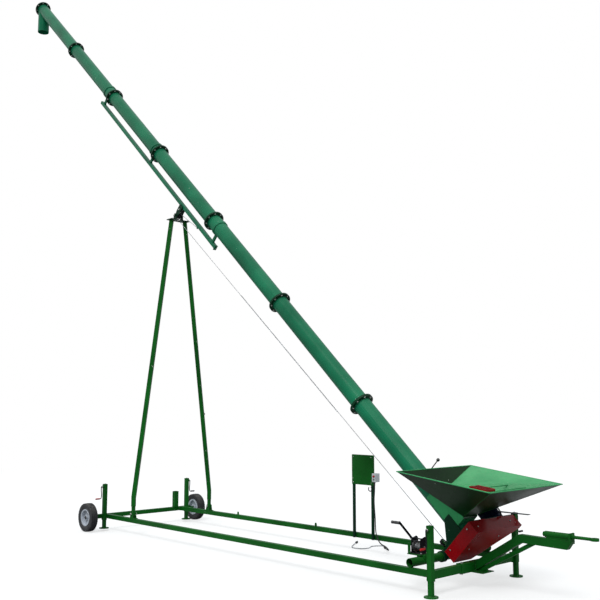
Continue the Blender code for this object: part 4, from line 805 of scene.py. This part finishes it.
def sheet_of(name, outline, thickness, place, material, round_over=0.0015):
    """A flat plate cut to an outline in its place's own XY plane."""
    shape = bmesh.new()
    low = [shape.verts.new((x, y, -thickness / 2)) for x, y in outline]
    face = shape.faces.new(low)
    top = bmesh.ops.extrude_face_region(shape, geom=[face])
    moved = [v for v in top["geom"] if isinstance(v, bmesh.types.BMVert)]
    bmesh.ops.translate(shape, vec=(0, 0, thickness), verts=moved)
    if round_over:
        bmesh.ops.bevel(shape, geom=list(shape.edges), offset=round_over, segments=1, affect="EDGES")
    bmesh.ops.transform(shape, matrix=place, verts=shape.verts)
    return landed(name, shape, material, smooth=True)


def points_out(spots):
    """A mesh of lone points, each with the direction that its bolt faces."""
    mesh = bpy.data.meshes.new("spots")
    mesh.from_pydata([spot for spot, _ in spots], [], [])
    outward = mesh.attributes.new("outward", "FLOAT_VECTOR", "POINT")
    for item, (_, direction) in zip(outward.data, spots):
        item.vector = Vector(direction).normalized()
    return mesh


def box_mesh(*boxes):
    """A mesh of plain boxes, each a size and a centre, for a tree to repeat."""
    shape = bmesh.new()
    for size, centre in boxes:
        corners = bmesh.ops.create_cube(shape, size=1)["verts"]
        bmesh.ops.scale(shape, vec=size, verts=corners)
        bmesh.ops.translate(shape, vec=centre, verts=corners)
    mesh = bpy.data.meshes.new("boxes")
    shape.to_mesh(mesh)
    shape.free()
    return mesh


def mesh_of(piece):
    """A piece's mesh, without its object, for a tree to repeat."""
    mesh = piece.data
    bpy.data.objects.remove(piece)
    return mesh


def bolts(name, spots, body, across=0.019, height=0.009, stud=0.003):
    """Zinc bolts on spots, each a point and the way its head faces."""
    sizes = {"Across": across, "Height": height, "Washer": across * 0.68, "Stud": stud}
    return rides(grown(name, points_out(spots), BOLTS, ZINC, **sizes), body)


def rides(piece, body):
    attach(piece, body)
    return piece


def stands_for(piece, node, body):
    """A finer piece in place of a CAD node."""
    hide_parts(node)
    return rides(piece, body)


def lines(runs):
    """A mesh of open or closed runs of edges, each a list of points."""
    points, edges = [], []
    for run in runs:
        start = len(points)
        points += run
        edges += [(start + i, start + i + 1) for i in range(len(run) - 1)]
    mesh = bpy.data.meshes.new("lines")
    mesh.from_pydata(points, edges, [])
    return mesh


def circle(centre, axis, radius, steps=40):
    place = facing(axis, ACROSS if abs(Vector(axis).y) < 0.9 else UP, centre)
    turns = [2 * math.pi * i / steps for i in range(steps + 1)]
    return [place @ Vector((radius * math.cos(t), radius * math.sin(t), 0)) for t in turns]


def weld(name, runs, body, width=0.0045, pitch=0.0045, seed=3, material=None):
    """A painted weld bead along runs of points."""
    sizes = {"Width": width, "Pitch": pitch, "Seed": seed}
    rides(grown(name, lines(runs), BEAD, material or FRAME_WELD, smooth=60, **sizes), body)


def repaint(node, material, where):
    """Gives another material to the faces of a CAD node whose middle passes the test."""
    mesh = CAD[node].data
    mesh.materials.append(material)
    last = len(mesh.materials) - 1
    for face in mesh.polygons:
        if where(face.center):
            face.material_index = last


def off_axis(point):
    """How far a point lies from the tube's axis."""
    arm = point - TUBE_FOOT
    return (arm - UP_TUBE * arm.dot(UP_TUBE)).length


# ---- tube: flanges, bolts and welds
def dress_tube():
    for node in TUBES[:1] + TUBES[3:]:
        repaint(node, FLANGE_GREEN, lambda point: off_axis(point) > TUBE_RADIUS + 0.006)
    spots, seams = [], []
    for i in range(JOINTS_IN_TUBE):
        up = FIRST_FLANGE + i * FLANGE_PITCH
        over = 0.010 if i == JOINTS_IN_TUBE - 1 else FLANGE_THICKNESS
        for k in range(8):
            angle = 2 * math.pi * (k + 0.5) / 8
            rise, y = BOLT_RING * math.cos(angle), BOLT_RING * math.sin(angle)
            spots.append((on_tube(up - FLANGE_THICKNESS, rise, y), DOWN_TUBE))
            spots.append((on_tube(up + over, rise, y), UP_TUBE))
        seams.append(circle(on_tube(up - FLANGE_THICKNESS - 0.002), UP_TUBE, TUBE_RADIUS + 0.001))
        if i < JOINTS_IN_TUBE - 1:
            seams.append(circle(on_tube(up + FLANGE_THICKNESS + 0.002), UP_TUBE, TUBE_RADIUS + 0.001))
    bolts("flange_bolts", spots, "auger")
    for up in STRUTS:
        for end in (-0.027, 0.027):
            seams.append(circle(on_tube(up + end), UP_TUBE, TUBE_RADIUS + 0.002))
        for y in (-0.015, 0.015):
            for rise in (-0.238, -0.123):
                seams.append([on_tube(up - 0.02, rise, y), on_tube(up + 0.02, rise, y)])
    weld("tube_welds", seams, "auger", material=TUBE_WELD)


def turn_tubes():
    """Turned lengths in place of the faceted ones. The last keeps its own cut for the spout."""
    bore, step = TUBE_RADIUS - TUBE_WALL, FLANGE_THICKNESS
    for i in range(1, JOINTS_IN_TUBE - 1):
        node = f"tube_section_{i}"
        reach = [(vertex.co - TUBE_FOOT).dot(UP_TUBE) for vertex in CAD[node].data.vertices]
        low, length = min(reach), max(reach) - min(reach)
        profile = [(bore, 0), (FLANGE_RADIUS, 0), (FLANGE_RADIUS, step), (TUBE_RADIUS, step)]
        profile += [(radius, length - height) for radius, height in reversed(profile)]
        place = facing(UP_TUBE, OUT_OF_TUBE, on_tube(low))
        tube = lathe(f"{node}_turned", profile, place, TUBE_GREEN, steps=96)
        tube.data.materials.append(FLANGE_GREEN)
        for face in tube.data.polygons:
            if off_axis(face.center) > TUBE_RADIUS + 0.006:
                face.material_index = 1
        stands_for(tube, node, "auger")


def roll_flight():
    """The screw's ribbon, rolled smooth, in place of the coarse one that the checks use."""
    place = facing(UP_TUBE, OUT_OF_TUBE, on_tube(0.600))
    ribbon = grown(
        "screw_ribbon_rolled", bpy.data.meshes.new("none"), RIBBON, BARE_STEEL, place,
        Length=13.8, Pitch=0.200, Inner=0.0246, Outer=0.0995, Steps=24,
    )
    wall = ribbon.modifiers.new("wall", "SOLIDIFY")
    wall.thickness = 0.0045
    wall.offset = 0
    bpy.context.view_layer.update()
    thick = bpy.data.meshes.new_from_object(ribbon.evaluated_get(bpy.context.evaluated_depsgraph_get()))
    ribbon.modifiers.clear()
    ribbon.data = thick
    stands_for(ribbon, "screw_flight", "screw")


# ---- wheels
def tyre_profile():
    """The tyre's section as (radius, across): two walls and a grooved, slightly crowned tread."""
    wall = [(0.1105, 0.0400), (0.1250, 0.0440), (0.1330, 0.0478), (0.1345, 0.0500), (0.1365, 0.0500)]
    wall += [(0.1380, 0.0490), (0.1500, 0.0525), (0.1640, 0.0548), (0.1780, 0.0550), (0.1880, 0.0535)]
    wall += [(0.1895, 0.0545), (0.1915, 0.0540), (0.1990, 0.0490)]
    tread = []
    for i in range(9):
        across = 0.040 - i * 0.010
        crown = 0.2070 - 0.0030 * (across / 0.040) ** 2
        for offset, depth in ((0.0032, 0), (0.0016, 0.0055), (-0.0016, 0.0055), (-0.0032, 0)):
            tread.append((crown - depth, across + offset))
    return wall + tread + [(radius, -across) for radius, across in reversed(wall)]


def fit_wheels():
    lug = box_mesh(*[((0.011, 0.0075, 0.010), (0.1985, 0.0, way * 0.0470)) for way in (-1, 1)])
    # Flat black plates on each rim's face stand for its vent holes: painted shade of openings that are not
    # cut.
    outline = [(0.072, -0.010), (0.086, -0.012), (0.090, 0.0), (0.086, 0.012), (0.072, 0.010), (0.069, 0.0)]
    flush = Matrix.Translation((0, 0, 0.0044))
    hole_shade = mesh_of(sheet_of("hole_shade", outline, 0.0012, flush, IRON_BLACK, round_over=0))
    dome = [(0, 0.050), (0.012, 0.0495), (0.022, 0.047), (0.0285, 0.0405), (0.0300, 0.0300), (0, 0.0300)]
    stem = [(0.098, 0.010), (0.096, 0.026), (0.094, 0.040), (0.0935, 0.046)]
    turns = [2 * math.pi * k / 5 for k in range(5)]
    for side, sign in (("near", -1), ("far", 1)):
        body, out = f"{side}_wheel", ACROSS * sign
        place = facing(out, UP, joint_at(f"{body}_spin"))
        tyre = lathe(f"{side}_tyre_carcass", tyre_profile(), place, TYRE_RUBBER, steps=72)
        lugs = grown(f"{side}_tread_lugs", lug, ROUND, TYRE_RUBBER, place, Count=52)
        stands_for(joined(f"{side}_tyre_moulded", [tyre, lugs]), f"{side}_tyre", body)
        spots = [(place @ Vector((0.056 * math.cos(t), 0.056 * math.sin(t), 0.004)), out) for t in turns]
        bolts(f"{side}_wheel_bolts", spots, body, height=0.010)
        rides(lathe(f"{side}_hub_cap", dome, place, BLACK_PLASTIC, steps=36), body)
        # Ten painted-shade plates round the rim, for its vent holes.
        hole_shades = grown(f"{side}_rim_hole_shades", hole_shade, ROUND, IRON_BLACK, place, Count=10, Start=0.3)
        rides(hole_shades, body)
        points = [place @ Vector((x, 0, z)) for x, z in stem]
        rides(bent_bar(f"{side}_valve", points, 0.004, BLACK_PLASTIC, sides=10), body)


# ---- drive: motor and guard
MOTOR_RADIUS = 0.105
MOTOR_LENGTH = 0.320
DRIVE_FACE = 0.5455 + 0.008 + 0.0003


def build_motor():
    centre = joint_at("motor_pulley_spin")
    place = facing(UP_TUBE, OUT_OF_TUBE, centre + UP_TUBE * DRIVE_FACE)
    r, length = MOTOR_RADIUS, MOTOR_LENGTH
    body = lathe(
        "motor_body",
        [
            (0.0, 0.0), (0.062, 0.0), (0.066, 0.004), (0.066, 0.010), (0.090, 0.012), (r - 0.001, 0.018),
            (r - 0.001, 0.038), (r - 0.004, 0.042), (r - 0.014, 0.044), (r - 0.014, 0.222),
            (r - 0.004, 0.224), (r - 0.001, 0.228), (r - 0.001, 0.240), (r - 0.003, 0.242),
            (r - 0.003, length - 0.030),
            (r - 0.008, length - 0.012), (r - 0.022, length - 0.002), (r - 0.030, length), (0.0, length),
        ],
        place, MOTOR_BLUE, steps=64,
    )
    fin = box_mesh(((0.015, 0.0028, 0.176), (r - 0.0085, 0, 0.133)))
    fins = grown("motor_fins", fin, ROUND, MOTOR_BLUE, place, Count=44)
    # Black bars on the fan cowl's end stand for its air slots: painted shade of the openings.
    slot = box_mesh(((0.034, 0.0045, 0.0016), (0.046, 0, length + 0.0002)))
    vent_shades = grown("fan_vent_shades", slot, ROUND, BLACK_PLASTIC, place, Count=18)
    box_at = place @ Matrix.Translation((r + 0.016, 0, 0.160))
    case = block("terminal_box", (0.056, 0.098, 0.108), box_at, MOTOR_BLUE, 0.006)
    lid_at = box_at @ Matrix.Translation((0.0275, 0, 0))
    lid = block("terminal_lid", (0.004, 0.092, 0.102), lid_at, MOTOR_BLUE, 0.003)
    gland_at = box_at @ Matrix.Translation((0.004, -0.048, 0.0)) @ Matrix.Rotation(math.pi / 2, 4, "X")
    nut = [(0, 0.0), (0.016, 0.0), (0.016, 0.012), (0.012, 0.016), (0.012, 0.026), (0.0085, 0.030)]
    nut.append((0, 0.030))
    gland = lathe("gland", nut, gland_at, BLACK_PLASTIC, steps=24)
    motor = joined("motor_finned", [body, fins, vent_shades, case, lid, gland])
    stands_for(motor, "motor", "auger")
    square = (box_at.to_3x3() @ Vector((1, 0, 0))).normalized()
    corners = [(y, z) for y in (-0.038, 0.038) for z in (-0.043, 0.043)]
    spots = [(box_at @ Vector((0.0294, y, z)), square) for y, z in corners]
    bolts("terminal_screws", spots, "auger", across=0.008, height=0.004, stud=0.0005)
    start = box_at @ Vector((0.004, -0.078, 0))
    turns = [(0, 0, 0), (0.01, -0.03, 0.0), (0.07, -0.06, 0.015), (0.14, -0.03, -0.04), (0.13, 0.02, -0.11)]
    turns += [(0.06, 0.03, -0.13), (0.02, 0.0, -0.16)]
    loops = through([start + Vector(turn) for turn in turns], 5)
    wire = bent_bar("motor_conduit", loops, 0.0075, CABLE_RUBBER)
    rides(wire, "auger")


GUARD_BACK = 0.5455 - GAP
GUARD_DEPTH = 0.146
GUARD_OUTLINE = ((-0.210, -0.215), (0.100, -0.215), (0.610, 0.195), (0.610, 0.240), (-0.210, 0.240))


def dress_guard():
    front = GUARD_BACK - GUARD_DEPTH
    spots = [(on_tube(front, rise, y), DOWN_TUBE) for rise, y in ((-0.02, -0.12), (0.12, 0.28))]
    spots += [(on_tube(front + 0.075, 0.240, y), OUT_OF_TUBE) for y in (-0.12, 0.47)]
    spots += [(on_tube(front + 0.110, rise, -0.210), -ACROSS) for rise in (-0.150, 0.170)]
    bolts("guard_bolts", spots, "auger", across=0.013, height=0.006, stud=0.002)
    middle = GUARD_BACK - 0.006
    corners = [on_tube(middle, rise, y) for y, rise in GUARD_OUTLINE]
    lip = []
    for a, b in zip(corners, corners[1:] + corners[:1]):
        along = b - a
        outward = along.cross(UP_TUBE).normalized()
        place = facing(outward, along, (a + b) / 2 + outward * 0.001)
        lip.append(block("lip", (along.length + 0.004, 0.012, 0.0025), place, GUARD_RED, 0.0008))
    rides(joined("guard_lip", lip), "auger")
    barrel = [(0, 0.04), (0.0055, 0.04), (0.0055, -0.04), (0, -0.04)]
    hinges = []
    for y in (0.02, 0.34):
        place = facing(ACROSS, UP_TUBE, on_tube(GUARD_BACK - 0.004, 0.247, y))
        hinges.append(lathe("hinge", barrel, place, GUARD_RED, 20))
    rides(joined("guard_hinges", hinges), "auger")


# ---- hopper and gate
HOPPER_RIM_Z = 0.9007
HOPPER_TILT = math.radians(6.81)
HOPPER_LENGTH = 1.158
HOPPER_WIDTH = 1.323
NECK = (0.660, 1.100)  # from here to here up the tube
NECK_HALF = 0.120
NECK_RISE = 0.1775


def hopper_corner(i, j, inset=0.0):
    length, width = HOPPER_LENGTH / 2 - inset, HOPPER_WIDTH / 2 - inset
    return yard(6.322, 0, HOPPER_RIM_Z) + Vector(
        (i * length * math.cos(HOPPER_TILT), j * width, -i * length * math.sin(HOPPER_TILT))
    )


def dress_hopper():
    middle = hopper_corner(0, 0)
    mesh = CAD["hopper"].data
    # Faces turned away from the funnel's inside, and those round the neck, get the near-black green: painted
    # shade on the hopper's outside and underside.
    mesh.materials.append(HOPPER_SHADE_GREEN)
    for face in mesh.polygons:
        toward = middle + UP * 0.4 - face.center
        if face.normal.dot(toward) < 0 or off_axis(face.center) < 0.30:
            face.material_index = 1
    rims = []
    for (i, j), (k, m) in zip(SQUARE, SQUARE[1:]):
        a, b = hopper_corner(i, j, 0.002), hopper_corner(k, m, 0.002)
        rims.append(bent_bar("rim", [a, a.lerp(b, 0.5), b], 0.0055, HOPPER_DUSTY_LIT_GREEN, sides=10))
    rides(joined("hopper_rim_roll", rims), "auger")
    seams = []
    for i, j in SQUARE[:4]:
        foot = on_tube(NECK[0] if i > 0 else NECK[1], NECK_RISE - 0.001, j * NECK_HALF)
        top = hopper_corner(i, j, 0.004)
        seams.append([foot, foot.lerp(top, 0.5), top])
    for up in NECK:
        seams.append([on_tube(up, NECK_RISE, -NECK_HALF), on_tube(up, NECK_RISE, NECK_HALF)])
    for y in (-NECK_HALF, NECK_HALF):
        seams.append([on_tube(NECK[0], NECK_RISE, y), on_tube(NECK[1], NECK_RISE, y)])
    weld("hopper_welds", seams, "auger", 0.004, 0.005, 11)
    knob, rod = on_tube(1.335), on_tube(1.15)
    repaint("gate", BLACK_PLASTIC, lambda point: (point - knob).dot(UP_TUBE) > -0.03 and point.z > 1.20)
    repaint("gate", IRON_BLACK, lambda point: (point - rod).dot(UP_TUBE) > 0 and point.z <= 1.20)


def fit_grate():
    """A small red grate in the funnel's near corner, above the screw's inlet."""
    middle = yard(6.487, -0.200, HOPPER_RIM_Z - 0.085)
    place = Matrix.Translation(middle) @ Matrix.Rotation(HOPPER_TILT, 4, "Y")
    bar = box_mesh(((0.006, 0.15, 0.020), (-0.102, 0, 0)))
    pieces = [grown("bars", bar, ALONG, GUARD_RED, place, Count=7, Step=(0.034, 0, 0))]
    for y in (-0.075, 0.075):
        at = place @ Matrix.Translation((0, y, 0))
        pieces.append(block("side", (0.21, 0.006, 0.026), at, GUARD_RED, 0.001))
    for x in (-0.085, 0.085):
        spot = place @ Vector((x, 0, -0.018))
        ends = [CAD["hopper"].ray_cast(spot, ACROSS * way)[1] for way in (-1, 1)]
        pieces.append(bent_bar("carrier", ends, 0.006, HOPPER_DUSTY_LIT_GREEN, sides=8))
    rides(joined("hopper_grate", pieces), "auger")


# ---- winch, ropes and sheaves
DRUM_LAYER = 0.0325  # from the drum's axis to the middle of the rope on it


def bar_ends(node):
    """The middles of the two ends of a straight bar, the lower one first."""
    spots = sorted((vertex.co for vertex in CAD[node].data.vertices), key=lambda spot: spot.z)
    half = len(spots) // 2
    return [sum(end, Vector()) / half for end in (spots[:half], spots[-half:])]


def lay_ropes():
    """Laid wire rope in place of each plain run."""
    bodies = ("rope_low", "rope_high", "carriage", "chassis")
    for node, body in zip(("rope_low", "rope_high", "rope_short", "rope_tail"), bodies):
        rope = grown(f"{node}_laid", lines([bar_ends(node)]), LAID, WIRE, smooth=60)
        stands_for(rope, node, body)


def dress_winch():
    drum = joint_at("winch_drum_spin")
    place = facing((1, 0, 0), UP, drum)
    turns = [2 * math.pi * k / 8 for k in range(8)]
    section = [(DRUM_LAYER + ROPE_RADIUS * math.cos(t), ROPE_RADIUS * math.sin(t) - 0.034) for t in turns]
    turn = mesh_of(lathe("turn", section, Matrix.Identity(4), WIRE, steps=36))
    coils = grown("drum_turns", turn, ALONG, WIRE, place, smooth=60, Count=10, Step=(0, 0, 0.0082))
    rides(coils, "winch_drum")
    crank = joint_at("winch_crank_spin")
    spots = [(crank + Vector((-0.113, 0, 0)), (-1, 0, 0))]
    bolts("winch_crank_nut", spots, "winch_crank", across=0.017)
    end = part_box("winch_crank")[0].x
    grip_place = facing((1, 0, 0), UP, Vector((end + 0.055, crank.y - 0.185, crank.z + 0.1675)))
    waist = [(0, -0.056), (0.013, -0.056), (0.0165, -0.052), (0.0150, -0.030), (0.0165, 0.0), (0.0150, 0.030)]
    waist += [(0.0170, 0.050), (0.0135, 0.055), (0, 0.055)]
    rides(lathe("winch_grip", waist, grip_place, BLACK_PLASTIC, steps=28), "winch_crank")
    spots = [(drum + Vector((x, y, -0.0617)), UP) for x in (-0.066, 0.066) for y in (-0.058, 0.058)]
    spots.append((drum + Vector((-0.0605, -0.020, 0.030)), (-1, 0, 0)))
    bolts("winch_bolts", spots, "chassis", across=0.013, height=0.007)


# ---- jacks
CRANK_DROP = 0.176
CRANK_BENDS = ((0.001, 0), (0.016, 0), (0.024, 0.008), (0.023, 0.060), (0.018, 0.120), (0.024, 0.168))
CRANK_GRIP = ((0, 0.046), (0.009, 0.046), (0.0118, 0.052), (0.0105, 0.080), (0.0118, 0.108), (0.008, 0.116))
CRANK_COLLAR = ((0, 0.0), (0.014, 0.0), (0.014, 0.014), (0.011, 0.017), (0, 0.017))
FOOT_WELD_PITCH = {"wheel": 0.00399, "hitch": 0.00401}
JACKS = [(end, side, sign) for end in ("wheel", "hitch") for side, sign in (("near", -1), ("far", 1))]


def bend_cranks():
    for end, side, sign in JACKS:
        name = f"{end}_{side}_jack_crank"
        hub = joint_at(f"{name}_turn")
        out = ACROSS * sign
        bends = [*CRANK_BENDS, (0.040, CRANK_DROP), (0.060, CRANK_DROP)]
        route = [hub + out * away - UP * down for away, down in bends]
        arm = bent_bar("arm", through(route, 5), 0.0065, IRON_BLACK, sides=12)
        tip = TIP_RED if side == "near" else BLACK_PLASTIC
        end = facing(out, UP, hub - UP * CRANK_DROP)
        grip = lathe("grip", [*CRANK_GRIP, (0, 0.1165)], end, tip, steps=24)
        collar = lathe("collar", CRANK_COLLAR, facing(out, UP, hub), ZINC, steps=24)
        stands_for(joined(f"{name}_bent", [arm, grip, collar]), name, name)


def dress_jacks():
    nuts, seams = [], []
    for end, side, sign in JACKS:
        name = f"{end}_{side}_jack_leg"
        low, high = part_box(name)
        x, y = (low.x + high.x) / 2, (low.y + high.y) / 2
        foot = [Vector((x + i * 0.0245, y + j * 0.0245, low.z + 0.0135)) for i, j in SQUARE]
        weld(f"{name}_weld", [foot], name, 0.004, FOOT_WELD_PITCH[end])
        nuts.append((Vector((x, y, RAIL_Z + POST_TOP + 0.0035)), UP))
        upright = [(y - 0.0275, -0.040, 0.026), (y + 0.0275, -0.040, 0.026)]
        if end == "hitch":
            upright.append((y - sign * 0.029, -0.054, 0.054))
        seams += [[Vector((x - 0.027, at, RAIL_Z + rise)) for rise in (a, b)] for at, a, b in upright]
    bolts("jack_cap_nipples", nuts, "chassis", across=0.010, height=0.006, stud=0.004)
    weld("jack_welds", seams, "chassis", 0.004, 0.0045, 5)


# ---- frame
def dress_frame():
    half = RAIL_SIDE / 2
    swing = joint_at("a_frame_swing")
    seams, spots = [], []
    for sign in (-1, 1):
        y = sign * RAIL_HALF
        for x in CROSS_BEAM_FACES:
            seams.append([yard(x, y + i * half, j * half) for i, j in SQUARE])
        foot = Vector((swing.x, y, RAIL_Z + half + 0.009))
        for a in (-0.071, 0.071):
            seams.append([foot + Vector((a, -0.03, -0.007)), foot + Vector((a, 0.03, -0.007))])
        pin = Vector((swing.x, y, swing.z))
        spots += [(pin + ACROSS * way * 0.0402, ACROSS * way) for way in (-1, 1)]
    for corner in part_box("pivot_tube"):
        ring = circle(Vector((PIVOT.x, corner.y * 0.962, PIVOT.z)), ACROSS, 0.0450)
        seams.append([point for point in ring if point.z < PIVOT.z - 0.030])
    weld("frame_welds", seams, "chassis", seed=7)
    bolts("frame_pins", spots, "chassis", across=0.022, height=0.008, stud=0.004)
    sleeve = [(yard(x, y, -0.0486), -UP) for x in (6.208, 6.228) for y in (-0.22, 0.22)]
    sleeve += [(yard(6.218, y, 0.0486), UP) for y in (-0.21, 0.21)]
    bolts("hitch_sleeve_bolts", sleeve, "chassis", height=0.010)
    outline = [(-0.020, 0), (0.020, 0), (0.020, 0.030), (0.012, 0.045), (-0.012, 0.045), (-0.020, 0.030)]
    lugs = []
    for x in (1.52, 3.18):
        place = facing(ACROSS, (1, 0, 0), yard(x, RAIL_HALF, half - 0.001))
        place = place @ Matrix.Rotation(math.pi, 4, "X")
        lugs.append(sheet_of("lug", outline, 0.006, place, FRAME_GREEN))
    rides(joined("far_rail_lugs", lugs), "chassis")
    outline = [(-0.205, -0.016), (0.205, -0.006), (0.205, 0.050), (-0.205, 0.062)]
    place = Matrix.Translation(yard(6.275, 0.65, POST_TOP + 0.0065))
    rides(sheet_of("shelf", outline, 0.006, place, IRON_BLACK), "chassis")


def dress_a_frame():
    spots = []
    for way in (-1, 1):
        spots.append((APEX + ACROSS * way * 0.0802, ACROSS * way))
        spots += [(APEX + Vector((x, way * 0.145, -0.0708)), UP) for x in (-0.045, 0.045)]
    bolts("yoke_bolts", spots, "a_frame")
    hinge = joint_at("a_frame_swing")
    foot = hinge + Vector((0, RAIL_HALF, 0.230))
    eye = foot.lerp(APEX + Vector((0, 0.125, -0.09)), 0.285)
    hoop = circle(eye + Vector((0.050, 0, 0)), ACROSS, 0.016, 20)
    root = [eye + Vector((x, 0, 0)) for x in (0.020, 0.036)]
    ring = bent_bar("eye", hoop, 0.004, IRON_BLACK, sides=8)
    stem = bent_bar("stem", root, 0.005, IRON_BLACK, sides=8)
    rides(joined("rope_eye", [ring, stem]), "a_frame")
    spots = [(joint_at("roller_spin") + ACROSS * way * 0.0442, ACROSS * way) for way in (-1, 1)]
    bolts("roller_bolts", spots, "carriage", across=0.017, height=0.008)
    seams = []
    for sign in (-1, 1):
        base = hinge + Vector((0, sign * RAIL_HALF, 0.105))
        for y in (-0.021, 0.021):
            seams.append([base + Vector((-0.02, y, 0)), base + Vector((0.02, y, 0))])
    weld("leg_welds", seams, "a_frame", 0.004, 0.0045, 9)


# ---- control panel
KNOB = [(0, 0.014), (0.010, 0.014), (0.013, 0.010), (0.014, 0.0), (0, 0.0)]
BUTTON = [(0, 0.007), (0.007, 0.007), (0.008, 0.005), (0.008, 0.0), (0, 0.0)]
RELIEF = [(0, 0), (0.013, 0), (0.013, 0.010), (0.010, 0.014), (0.0085, 0.050), (0.0075, 0.054), (0, 0.054)]


def build_panel():
    face = PANEL_FACE - GAP
    left, right = PANEL_LOW_X - YARD, PANEL_HIGH_X - YARD
    bottom, top = RAIL_Z + 0.645, RAIL_Z + 1.020
    width, height = right - left, top - bottom
    middle = Vector(((left + right) / 2, face - 0.0317, (bottom + top) / 2))
    behind = middle.y + 0.014
    folds = [((width, 0.030, 0.003), (middle.x, behind, z)) for z in (bottom, top)]
    folds += [((0.003, 0.030, height), (x, behind, middle.z)) for x in (left, right)]
    pieces = [block("board", (width, 0.003, height), middle, FRAME_GREEN, 0.001)]
    pieces += [block("fold", size, Vector(at), FRAME_GREEN, 0.001) for size, at in folds]
    foot, head = RAIL_Z - 0.030, bottom + 0.30
    for x in (left + 0.020, right - 0.020):
        at = Vector((x, face - 0.015, (foot + head) / 2))
        pieces.append(block("post", (0.030, 0.030, head - foot), at, FLANGE_GREEN, 0.003))
    stands_for(joined("control_board", pieces), "control_panel", "chassis")
    case_at = Vector((right + 0.0365, face - 0.0175, RAIL_Z + 0.745))
    front = case_at + Vector((0, -0.0375, 0))
    cable_exit = yard(PANEL_SIDE_X, PANEL_FACE - 0.040, 0.690)
    pieces = [
        block("case", (0.068, 0.074, 0.108), case_at, BOX_PLASTIC, 0.006),
        block("lid", (0.062, 0.004, 0.102), front + ACROSS * 0.002, BOX_PLASTIC, 0.003),
        lathe("knob", KNOB, facing(-ACROSS, UP, front + UP * 0.018), TIP_RED, steps=28),
        lathe("button", BUTTON, facing(-ACROSS, UP, front - UP * 0.022), BLACK_PLASTIC, steps=24),
        lathe("relief", RELIEF, facing(-UP, ACROSS, cable_exit), BLACK_PLASTIC, steps=24),
    ]
    rides(joined("switch_box", pieces), "chassis")
    spots = [(middle + Vector((x, -0.0015, z)), -ACROSS) for x in (-0.155, 0.155) for z in (-0.16, 0.16)]
    bolts("panel_bolts", spots, "chassis", across=0.010, height=0.005, stud=0.001)
    hook = circle(Vector((right - 0.045, face - 0.035, bottom - 0.045)), ACROSS, 0.028, 24)[2:22]
    rides(bent_bar("lead_hook", hook, 0.006, IRON_BLACK, sides=10), "chassis")


def dress_hitch():
    seams = []
    for sign in (-1, 1):
        seams.append([yard(6.262, sign * 0.030, -0.040), yard(6.262, sign * 0.030, 0.045)])
        seams.append([yard(7.085, sign * 0.022, 0.372), yard(7.335, sign * 0.022, 0.366)])
    weld("hitch_welds", seams, "chassis", seed=15)
    sheave = joint_at("lower_sheave_spin")
    axis = Vector(JOINTS["lower_sheave_spin"]["axis"]).normalized()
    spots = [(sheave + axis * way * 0.0222, axis * way) for way in (-1, 1)]
    bolts("sheave_bolts", spots, "chassis", across=0.013, height=0.006)


set_camera()
finish_cad()
set_light()
lay_floor()
lay_cords()
dress_tube()
turn_tubes()
roll_flight()
fit_wheels()
build_motor()
dress_guard()
dress_hopper()
fit_grate()
lay_ropes()
dress_winch()
bend_cranks()
dress_jacks()
dress_frame()
dress_a_frame()
build_panel()
dress_hitch()
